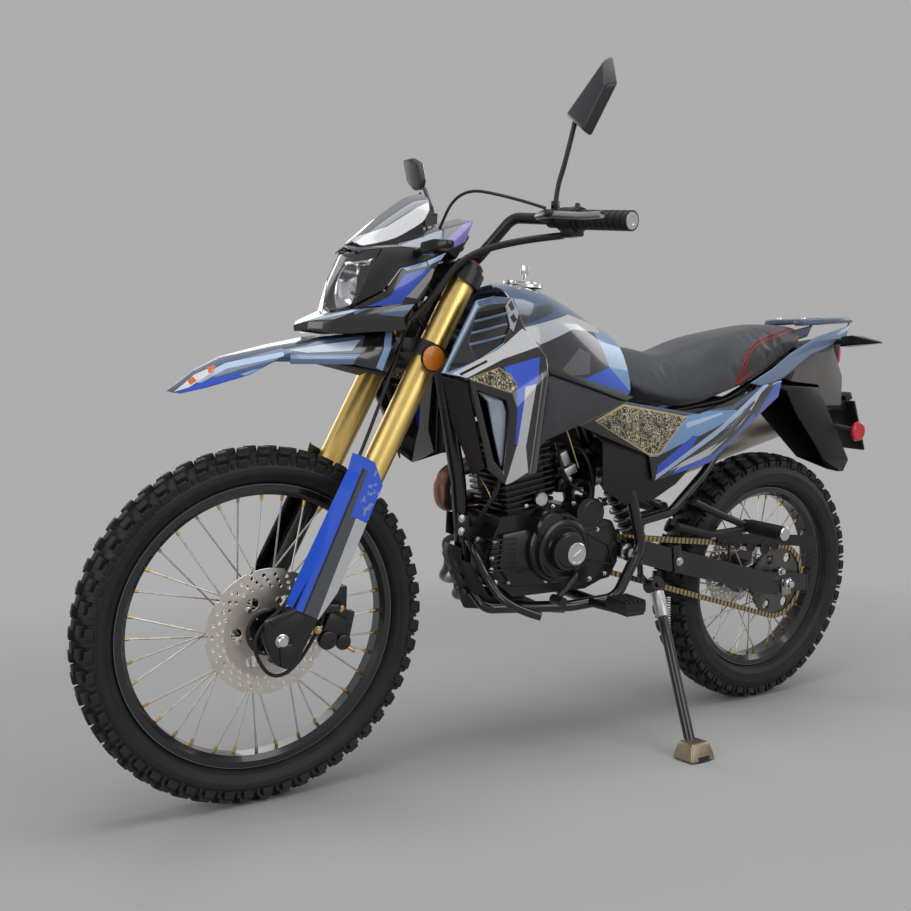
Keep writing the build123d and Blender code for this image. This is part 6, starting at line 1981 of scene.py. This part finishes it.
@dataclass
class EngineDetails:
    """Covers, caps, bolts, plates and hoses on the engine's left side, with the plainer ones on the right."""

    def build(self) -> None:
        """Builds every piece round the engine."""
        self.covers()
        self.hardware()
        self.behind()
        self.right()

    def covers(self) -> None:
        """The stepped generator cover, the starter, and the cover over the front sprocket."""
        steps = ((66, 80), (96, 79), (101, 76), (103, 71), (112, 69), (118, 66), (121, 60), (121, 54),
                 (119, 52), (119, 47), (122, 45), (136, 42), (142, 36), (143.5, 28), (143.5, 0))
        cover = Bench.lathe("generator_cover", steps, mm(741, 0, 474), steps=72, smooth=26)
        neck = Bench.lathe("neck", [(70, 38), (108, 37), (114, 33), (116, 25), (116, 0)],
                           mm(774, 0, 522), steps=48)
        low = Hardware.side_plate("low",
                                  ((800, 520), (884, 510), (890, 440), (860, 394), (770, 386), (690, 392),
                                          (640, 396), (690, 520)), 62, 84, 0.007)
        front = Hardware.side_plate("front",
                                    ((836, 506), (900, 500), (912, 460), (900, 404), (846, 398), (820, 440)),
                                    58, 76, 0.005)
        fins = [Hardware.side_plate("fin", ((850, z - 2), (914, z - 3), (914, z + 0), (850, z + 1)), 60,
                                    88, 0.0008)
                for z in (500, 489, 478, 467, 456, 445, 434)]
        starter = Bench.lathe("starter",
                              [(30, 34), (94, 34), (99, 32), (101, 28), (101, 24), (99.5, 22), (99.5, 0)],
                              mm(651, 0, 546), steps=48)
        ring = Bench.lathe("ring", [(60, 30), (84, 30), (88, 26), (84, 22), (60, 22)],
                           mm(673, 0, 592), steps=40, closed=True)
        Piece.settle(Bench.join("generator_cover", [cover, neck, low, front, starter, ring] + fins),
                     CAST_BLACK, Body.CHASSIS, "black_metal")
        sprocket = Hardware.side_plate("sprocket_cover",
                                       ((692, 520), (640, 534), (590, 526), (572, 494), (568, 430),
                                                          (590, 392), (650, 386), (690, 400)), 66, 98, 0.006)
        ridge = [Bench.tube("ridge", [mm(x0, 99, z0), mm(x1, 99, z1)], 0.0022, straight=True)
                 for x0, z0, x1, z1 in ((672, 508, 590, 512), (664, 500, 602, 470), (660, 440, 584, 424),
                                        (602, 470, 584, 424))]
        Piece.settle(Bench.join("sprocket_cover", [sprocket] + ridge), CAST_BLACK, Body.CHASSIS,
                     "black_metal")
        cap = Bench.lathe("cover_cap",
                          [(142, 25), (146, 25), (147.5, 23), (147.5, 20), (146.6, 19), (146.6, 0)],
                          mm(729, 0, 468), steps=48)
        slot = Bench.block("slot", mm(729, 147, 468), (26, 2.4, 5), 0.0006, (0, 0.6, 0))
        Piece.settle(Bench.join("cover_cap", [cap, slot]), STEEL, Body.CHASSIS, "disc_steel")
        small = Bench.lathe("cylinder_cap", [(74, 16), (82, 16), (84, 14), (84, 11), (83, 10), (83, 0)],
                            mm(784, 0, 581), steps=32)
        Piece.settle(small, STEEL, Body.CHASSIS, "disc_steel")

    def hardware(self) -> None:
        """Bolts and unions where the covers are held."""
        Hardware.bolts("engine_bolts", (
            (811, 84, 486, 5.5), (800, 84, 434, 5.5), (860, 78, 403, 4.5), (764, 84, 399, 4.5),
            (650, 97, 396, 4.5), (905, 76, 458, 4.5), (905, 76, 432, 4.5), (893, 76, 404, 4.5),
            (763, 90, 545, 6), (690, 80, 568, 7), (635, 97, 508, 4), (622, 84, 572, 6), (606, 97, 404, 4),
            (745, 72, 562, 4), (818, 72, 566, 4), (900, 76, 494, 4), (686, 98, 512, 4)), Body.CHASSIS, STEEL)
        outline = ((962, 548), (920, 540), (862, 520), (858, 492), (910, 482), (962, 500))
        plates = [Hardware.side_plate("plate", outline, low, low + 5, 0.0012) for low in (20, -25)]
        Piece.settle(Bench.join("engine_mounts", plates), SATIN, Body.CHASSIS, "black_metal")
        Hardware.bolts("engine_mount_bolts", ((952, 25, 538, 7), (952, 25, 510, 7), (878, 25, 520, 6),
                                              (876, 25, 500, 6), (908, 25, 488, 6)), Body.CHASSIS, STEEL)
        pivot = Bench.lathe("pivot_bolts",
                            [(108, 0), (108, 20), (111, 20), (112, 14), (122, 13), (124, 11), (124, 0)],
                            mm(551, 0, 452), steps=32)
        Piece.settle(Bench.both(pivot), STEEL, Body.CHASSIS, "disc_steel")

    def behind(self) -> None:
        """The carburettor's bowl and cap, the breather hoses, the intake's clamp and the plug lead."""
        parts = [Bench.lathe("clamp", [(0, 26), (0, 30), (10, 30), (10, 26)], mm(736, 0, 636),
                             Vector((-1, 0, 0)), 32, True),
                 Bench.block("bowl", mm(690, 20, 604), (46, 54, 34), 0.006, (0, 0, 0), (1.0, 1.0)),
                 Bench.rod("cap", mm(690, 0, 676), mm(690, 0, 694), 0.024, 0.004)]
        Piece.settle(Bench.join("carburettor_parts", parts), SATIN, Body.CHASSIS, "black_metal")
        silver = [Bench.block("lug", mm(700, 60, 640), (38, 26, 22), 0.004, (0, 0.4, 0)),
                  Bench.block("lug", mm(716, 64, 668), (22, 18, 34), 0.004, (0, 0.5, 0)),
                  Bench.rod("screw", mm(706, 58, 622), mm(706, 80, 622), 0.006, 0.001, 16)]
        Piece.settle(Bench.join("carburettor_lugs", silver), ALLOY, Body.CHASSIS, "disc_steel")
        hoses = [Bench.tube("hose", [mm(*p) for p in route], size * MM) for size, route in (
            (4.0, ((700, 30, 690), (690, 60, 700), (670, 84, 680), (648, 92, 620), (640, 80, 560),
                   (650, 70, 520))),
            (3.0, ((720, 40, 700), (740, 74, 690), (735, 88, 640), (700, 92, 600), (668, 92, 590))),
            (5.0, ((880, 60, 640), (900, 78, 600), (918, 60, 560), (926, 30, 520))),
            (3.5, ((800, 30, 750), (830, 66, 724), (862, 74, 680), (850, 66, 640))),
            (3.0, ((960, 30, 760), (956, 44, 700), (940, 60, 650), (925, 50, 600))))]
        Piece.settle(Bench.join("engine_hoses", hoses), SOFT_RUBBER, Body.CHASSIS, "black_plastic")
        leads = [Bench.tube("lead", [mm(*p) for p in route], 0.0016) for route in (
            ((735, 90, 740), (722, 98, 700), (706, 98, 664), (696, 94, 650)),
            ((930, 40, 640), (916, 60, 610), (908, 66, 588)))]
        Piece.settle(Bench.join("engine_leads", leads), BRASS, Body.CHASSIS, "disc_steel")

    def right(self) -> None:
        """The clutch cover, the pump cover and their bolts on the right side."""
        clutch = Bench.lathe("clutch_cover", [(-110, 70), (-116, 66), (-120, 58), (-122, 40), (-122, 0)],
                             mm(700, 0, 456), steps=64, smooth=26)
        pump = Bench.lathe("pump", [(-106, 42), (-111, 38), (-113, 28), (-113, 0)], mm(840, 0, 440), steps=40)
        Piece.settle(Bench.join("clutch_cover", [clutch, pump]), CAST_BLACK, Body.CHASSIS, "black_metal")
        ring = [(700 + 66 * math.cos(a), -111, 456 + 66 * math.sin(a), 4.5)
                for a in (0.3, 1.2, 2.1, 3.0, 3.9, 4.8, 5.7)]
        Hardware.bolts("clutch_cover_bolts", ring, Body.CHASSIS, STEEL)


@dataclass
class BarDetails:
    """Ribbed grips, bar ends, levers, switches and the reservoir's lid."""

    perch_in: float = 0.060

    def build(self) -> None:
        """Builds the pieces on the bar."""
        sleeve, along = self.sleeve()
        ribs = [Bench.lathe("rib", [(d, 16.6), (d + 0.8, 18.6), (d + 11, 18.6), (d + 11.8, 16.6)],
                            sleeve, along, 32, True) for d in range(12, 120, 15)]
        Piece.settle(Bench.both(Bench.join("grip_ribs", ribs)), SOFT_RUBBER, Body.STEERING, "grip_rubber")
        weight = Bench.lathe("bar_ends",
                             [(123.5, 0), (123.5, 17.5), (127, 17.5), (128.5, 15.5), (128.5, 8), (127.2, 7),
                                          (127.2, 0)], sleeve, along, 32)
        Piece.settle(Bench.both(weight), STEEL, Body.STEERING, "disc_steel")
        perch = sleeve - along * self.perch_in
        pivot = perch + mm(34, 0, 2)
        route = [pivot + mm(6, -6, 0), pivot + mm(16, 34, 0), sleeve + mm(50, 60, -4),
                 sleeve + mm(46, 100, -6), sleeve + mm(44, 118, -6)]
        lever = Bench.tube("levers", route, 0.0068, 3)
        Piece.settle(Bench.both(lever), Metal("lever_alloy", (0.42, 0.42, 0.43), (0.28, 0.28, 0.28), 0.34),
                     Body.STEERING, "disc_steel")
        pod = sleeve - along * 0.022
        parts = [Bench.block("switch", pod + mm(-4, 0, -22), (30, 40, 22), 0.004, (0, 0.1, 0)),
                 Bench.block("switch", pod + mm(-14, 0, 14), (24, 34, 18), 0.004, (0, -0.4, 0)),
                 Bench.rod("choke", pod + mm(-10, 4, 20), pod + mm(-12, 4, 31), 0.005, 0.001, 16),
                 Bench.block("perch", perch + mm(12, 0, 6), (38, 24, 20), 0.004)]
        nut = Bench.rod("nut", perch + mm(4, 0, 18), perch + mm(4, 0, 34), 0.009, 0.001, 6)
        Piece.settle(Bench.both(Bench.join("switch_housings", parts + [nut])), SATIN, Body.STEERING,
                     "black_plastic")
        centre = perch + mm(28, 0, 50)
        centre.y = -centre.y
        lid = Bench.block("reservoir_lid", centre, (44, 56, 6), 0.0025, (0, 0, 0), (0.92, 0.94))
        cap = Bench.block("reservoir_lid", centre + mm(0, 0, 5), (22, 30, 5), 0.002)
        Piece.settle(Bench.join("reservoir_lid", [lid, cap]), SATIN, Body.STEERING, "black_metal")

    @staticmethod
    def sleeve() -> tuple[Vector, Vector]:
        """The left grip's inner end, and the direction from there to the bar's end."""
        clamp = at_fork(836, -24)
        end = Vector((0.869, 0.415, clamp.z + 0.066))
        start = Vector((clamp.x - 0.072, 0.210, clamp.z + 0.084))
        along = (end - start).normalized()
        return end - along * 0.125, along


@dataclass
class Mirrors:
    """Both mirrors: a bent stem, a shell and its glass. The right one is turned in and down."""

    stem: float = 0.005

    def build(self) -> None:
        """Builds the stems, the shells and the glasses."""
        places = {
            1: (((893, 247, 1262), (884, 262, 1348)),
                ((866, 222, 1352), (850, 320, 1453), (858, 348, 1392), (880, 305, 1300)),
                ((893, 238, 1352), (872, 318, 1440), (884, 338, 1386), (900, 300, 1312))),
            -1: (((908, -244, 1236), (904, -276, 1272)),
                 ((900, -378, 1352), (900, -331, 1352), (900, -290, 1335), (900, -270, 1290),
                  (900, -280, 1268), (900, -322, 1270), (900, -352, 1289)),
                 ((914, -372, 1348), (917, -331, 1346), (916, -297, 1331), (914, -278, 1290),
                  (912, -286, 1274), (914, -322, 1276), (914, -348, 1293)))}
        sleeve, along = BarDetails.sleeve()
        foot = sleeve - along * BarDetails.perch_in + mm(4, 0, 12)
        stems, shells, glasses = [], [], []
        for side, (route, back, front) in places.items():
            start = Vector((foot.x, side * foot.y, foot.z))
            stems.append(Bench.tube("stem", [start, start + mm(0, 0, 44)] + [mm(*p) for p in route],
                                    self.stem))
            stems.append(Bench.rod("nut", start, start + mm(0, 0, 14), 0.009, 0.001, 6))
            points = {f"b{n}": p for n, p in enumerate(back)} | {f"f{n}": p for n, p in enumerate(front)}
            count = len(back)
            faces = [tuple(f"b{n}" for n in range(count)), tuple(f"f{n}" for n in reversed(range(count)))]
            faces += [(f"b{n}", f"f{n}", f"f{(n + 1) % count}", f"b{(n + 1) % count}") for n in range(count)]
            shells.append(Bench.cage("shell", points, faces, 0.006, segments=3))
            middle = sum((mm(*p) for p in back), Vector()) / count
            normal = (mm(*back[1]) - mm(*back[0])).cross(mm(*back[2]) - mm(*back[0])).normalized()
            outward = normal if normal.x < 0 else -normal
            inset = {f"g{n}": tuple((middle + (mm(*p) - middle) * 0.86 + outward * 0.0006) / MM)
                     for n, p in enumerate(back)}
            glasses.append(Bench.cage("glass", inset, [tuple(inset)], 0.0, 0.0012))
        Piece.settle(Bench.join("mirror_shells", shells), MIRROR_SHELL, Body.STEERING, "mirror_dark",
                     ["mirrors"])
        Piece.settle(Bench.join("mirror_stems", stems), SATIN, Body.STEERING, "black_metal")
        Piece.settle(Bench.join("mirror_glass", glasses), CHROME, Body.STEERING, "mirror_dark")


@dataclass
class LowerGuard:
    """The skid plate with its holes, and the crash bars beside it."""

    wall: float = 0.004
    bar: float = 0.009
    hole: float = 8.0
    slope: float = 0.384

    def build(self) -> None:
        """Builds the plate, dark discs of painted shade for its holes, and the bars."""
        points = {"a": (962, 0, 480), "b": (954, 32, 476), "c": (964, 0, 456), "d": (956, 38, 452),
                  "e": (918, 0, 336), "f": (904, 44, 346), "g": (700, 0, 318), "h": (700, 74, 320),
                  "i": (892, 52, 370), "j": (700, 88, 334), "k": (940, 46, 446)}
        plate = Bench.cage("skid_plate", points, "abdc cdfe efhg dkif fijh", 0.0016, self.wall, mirror=True)
        # The holes are dark discs on the solid plate: painted shade standing in for the openings.
        holes = []
        for z in (440, 408, 376):
            for y in (-18, 18):
                middle = mm(916.5 + (z - 336) * self.slope, y, z)
                holes.append(Bench.lathe("hole", [(0, 0), (0, self.hole), (2.4, self.hole), (2.4, 0)], middle,
                                         Vector((0.934, 0, -0.358)), 24))
        Piece.settle(plate, MATTE, Body.CHASSIS, "black_metal")
        Piece.settle(Bench.join("skid_plate_holes", holes), DEEP, Body.CHASSIS, "black_plastic")
        bars = [Bench.tube("bar", [mm(930, s * 12, 489), mm(948, s * 58, 489), mm(915, s * 76, 416),
                                   mm(903, s * 140, 366), mm(845, s * 180, 350)], self.bar, 3, 5)
                for s in (1, -1)]
        Piece.settle(Bench.join("crash_bars", bars), ENAMEL, Body.CHASSIS, "black_metal")


@dataclass
class Cables:
    """The brake hose, the clutch and throttle cables and the wiring loom, all held at both ends."""

    hose: float = 0.0035
    cable: float = 0.003
    loom: float = 0.007

    def build(self) -> None:
        """Builds every cord along its route."""
        hose = [mm(1298, 84, 372), mm(1338, 92, 298), mm(1402, 104, 268), mm(1442, 104, 320),
                mm(1440, 104, 372), at_fork(70, 36, 96), at_fork(330, 36, 100), at_fork(560, 46, 76),
                at_fork(660, 46, 48), at_fork(800, 44, -60), mm(1010, -140, 1196), mm(950, -222, 1184)]
        clutch = [mm(946, 262, 1168), mm(990, 210, 1190), mm(1036, 90, 1216), mm(1048, 30, 1120),
                  mm(1092, 24, 1012)]
        throttle = [mm(900, -262, 1126), mm(960, -180, 1216), mm(1040, -60, 1236), mm(1048, -20, 1120),
                    mm(1094, -18, 1012)]
        loom = [mm(880, 236, 1126), mm(944, 164, 1116), mm(1040, 120, 1078), at_fork(716, 45, 102),
                mm(1132, 92, 950)]
        for name, route, radius in (("brake_hose", hose, self.hose), ("clutch_cable", clutch, self.cable),
                                    ("throttle_cable", throttle, self.cable),
                                    ("wiring_loom", loom, self.loom)):
            length = sum((b - a).length for a, b in zip(route, route[1:]))
            LOG.info("%s: about %.0f mm along its route", name, length / MM)
            Piece.settle(Bench.tube(name, route, radius), SOFT_RUBBER, Body.STEERING, "black_plastic")


@dataclass
class RearDetails:
    """Swingarm hardware, chain guard rims, pegs, the shock's spring, the stand's spring and shoe."""

    def build(self) -> None:
        """Builds the pieces round the rear wheel and the stand."""
        axle = Bench.lathe("rear_axle_ends",
                           [(120, 0), (120, 13), (124, 13), (126, 10), (133, 9), (134, 7), (134, 0)],
                           REAR_AXLE, steps=32)
        adjuster = Bench.block("adjuster", mm(-4, 111, 320), (34, 5, 44), 0.0015, (0, 0.09, 0))
        straps = [Bench.block("strap", mm(392, 110, 424), (26, 4, 66), 0.001, (0, 0.16, 0)),
                  Bench.block("end", mm(-90, 100, 324), (5, 18, 46), 0.001, (0, 0.09, 0))]
        Piece.settle(Bench.both(axle), STEEL, Body.CHASSIS, "disc_steel")
        Piece.settle(Bench.both(adjuster),
                     Metal("adjuster_zinc", (0.46, 0.43, 0.33), (0.28, 0.25, 0.18), 0.4), Body.CHASSIS,
                     "disc_steel")
        Piece.settle(Bench.both(Bench.join("swingarm_straps", straps)), ENAMEL, Body.CHASSIS, "black_metal")
        Hardware.bolts("swingarm_bolts",
                       ((387, 112, 418, 8, 6), (18, 109, 362, 8, 10), (387, -112, 418, 8, 6)),
                       Body.CHASSIS, STEEL)
        holes = ((220, 445, 9), (173, 438, 9), (122, 433, 15), (70, 424, 16), (28, 426, 9))
        # Dark discs on the solid guard stand in for its holes: painted shade of the openings.
        discs = [Bench.lathe("hole", [(95.1, 0), (95.1, r), (95.9, r), (95.9, 0)], mm(x, 0, z), steps=32)
                 for x, z, r in holes]
        Piece.settle(Bench.join("guard_holes", discs), DEEP, Body.CHASSIS, "black_plastic")
        rims = [Bench.lathe("rim", [(95, r - 1.5), (97, r - 1), (97.4, r), (97, r + 1.2), (95, r + 1.8)],
                            mm(x, 0, z), steps=32, closed=True) for x, z, r in holes]
        Piece.settle(Bench.join("guard_hole_rims", rims), ENAMEL, Body.CHASSIS, "black_metal")
        peg = mm(203, 0, 500)
        ribs = [Bench.lathe("rib", [(d, 14.8), (d + 1, 17.6), (d + 4.2, 17.6), (d + 5.2, 14.8)],
                            peg, steps=24, closed=True) for d in range(160, 250, 8)]
        Piece.settle(Bench.both(Bench.join("peg_ribs", ribs)), SOFT_RUBBER, Body.CHASSIS, "black_plastic")
        cap = Bench.lathe("peg_caps", [(261, 0), (261, 16.4), (264, 16.4), (265.5, 14), (265.5, 0)],
                          peg, steps=32)
        Piece.settle(Bench.both(cap), STEEL, Body.CHASSIS, "disc_steel")
        teeth = [Bench.block("tooth", mm(640 + dx, 212 + dy, 375), (8, 8, 7), 0.001)
                 for dx in (-24, -12, 0, 12, 24) for dy in (-27, -18, -9, 0, 9, 18, 27)]
        pad = Bench.block("pad", mm(640, 212, 350), (52, 66, 10), 0.004)
        Piece.settle(Bench.both(Bench.join("peg_teeth", teeth + [pad])), SOFT_RUBBER, Body.CHASSIS,
                     "black_plastic")
        spring = Hardware.coil("shock_spring", mm(440, 0, 476), mm(536, 0, 650), 0.031, 0.0055, 8)
        Piece.settle(spring, Metal("spring_steel", (0.34, 0.34, 0.35), (0.2, 0.2, 0.2), 0.3), Body.CHASSIS,
                     "disc_steel")
        route = ((180, 480), (110, 470), (40, 520), (-30, 545), (-57, 536), (-20, 500), (30, 470), (68, 440))
        hoop = Bench.tube("wire_hoop", [mm(x, -104, z) for x, z in route], 0.004)
        Piece.settle(hoop, SATIN, Body.CHASSIS, "black_metal")
        self.stand()

    def stand(self) -> None:
        """The stand's spring with its hook, its worn shoe and the fork at its pivot."""
        coil = Hardware.coil("stand_spring", mm(448, 143, 344), mm(484, 186, 262), 0.0062, 0.0015, 16)
        hook = Bench.tube("hook", [mm(484, 186, 262), mm(486, 190, 252), mm(498, 198, 250)], 0.0018)
        Piece.settle(Bench.join("stand_spring", [coil, hook]), STEEL, Body.STAND, "disc_steel")
        shoe = Bench.block("stand_shoe", mm(520, 322.8, 55.8), (72, 64, 38), 0.006, (BIKE.lean, 0, 0),
                           (0.72, 0.72), 3)
        Piece.settle(shoe, Metal("shoe_metal", (0.40, 0.33, 0.23), (0.07, 0.055, 0.045), 0.42), Body.STAND,
                     "disc_steel")
        fork = Bench.rod("stand_fork", mm(477, 137, 358), mm(484, 168, 306), 0.0155, 0.003)
        Piece.settle(fork, ALLOY, Body.STAND, "disc_steel")


@dataclass
class Dressing:
    """Finishes of the CAD nodes that stay."""

    finishes: dict = field(default_factory=lambda: {
        "triple_clamps": SATIN, "fork_uppers": GOLD, "fork_lowers": CAST_BLACK,
        "fork_guards": GuardPrint("guard_print"),
        "handlebar": SATIN, "grips": SOFT_RUBBER, "bar_controls": SATIN, "mirrors": MIRROR_SHELL,
        "front_fender": GlossPanel("fender_gloss", NIGHT), "headlamp_mask": MATTE, "headlamp": LENS,
        "windscreen": ClearPart("smoked_screen", (0.2, 0.2, 0.22), 0.08, 0.5), "cluster": DEEP,
        "front_indicators": SMOKE, "front_caliper": CAST_BLACK, "frame": ENAMEL, "subframe": ENAMEL,
        "engine": CAST_BLACK, "cylinder": CAST_BLACK, "carburettor": ENAMEL, "exhaust": EXHAUST,
        "fuel_tank": GlossPanel("tank_gloss", NIGHT), "tank_shrouds": ASH_PLASTIC, "seat": SEAT_VINYL,
        "side_panels": GlossPanel("side_gloss", SKY),
        "tail_rack": GlossPanel("tail_gloss", (0.10, 0.14, 0.20)), "tail_light": RED, "rear_mudguard": MATTE,
        "rear_indicators": SMOKE, "swingarm": ENAMEL, "chain": CHAIN_METAL, "chain_guard": MATTE,
        "rear_shock": SATIN, "rider_pegs": SATIN, "foot_levers": SATIN, "passenger_pegs": SATIN,
        "side_stand": ENAMEL, "stand_bracket": ENAMEL, "front_axle": STEEL, "rear_axle": STEEL})

    def build(self) -> None:
        """Dresses every listed node."""
        for node in frame["nodes"]:
            if node in self.finishes:
                Piece.dress(node, self.finishes[node])


def main() -> None:
    """Builds the bike's looks in order."""
    logging.basicConfig(level=logging.INFO, format="%(name)s %(message)s")
    for part in (Studio(), Dressing(), Wheels(), FrontFender(), LampMask(), TankAndShrouds(),
                 SidePanels(), Seat(), Tail(), ForkDetails(), EngineDetails(), BarDetails(), Mirrors(),
                 LowerGuard(), Cables(), RearDetails()):
        part.build()
    LOG.info("%d pieces", Piece.count)


if __name__ == "__main__":
    main()
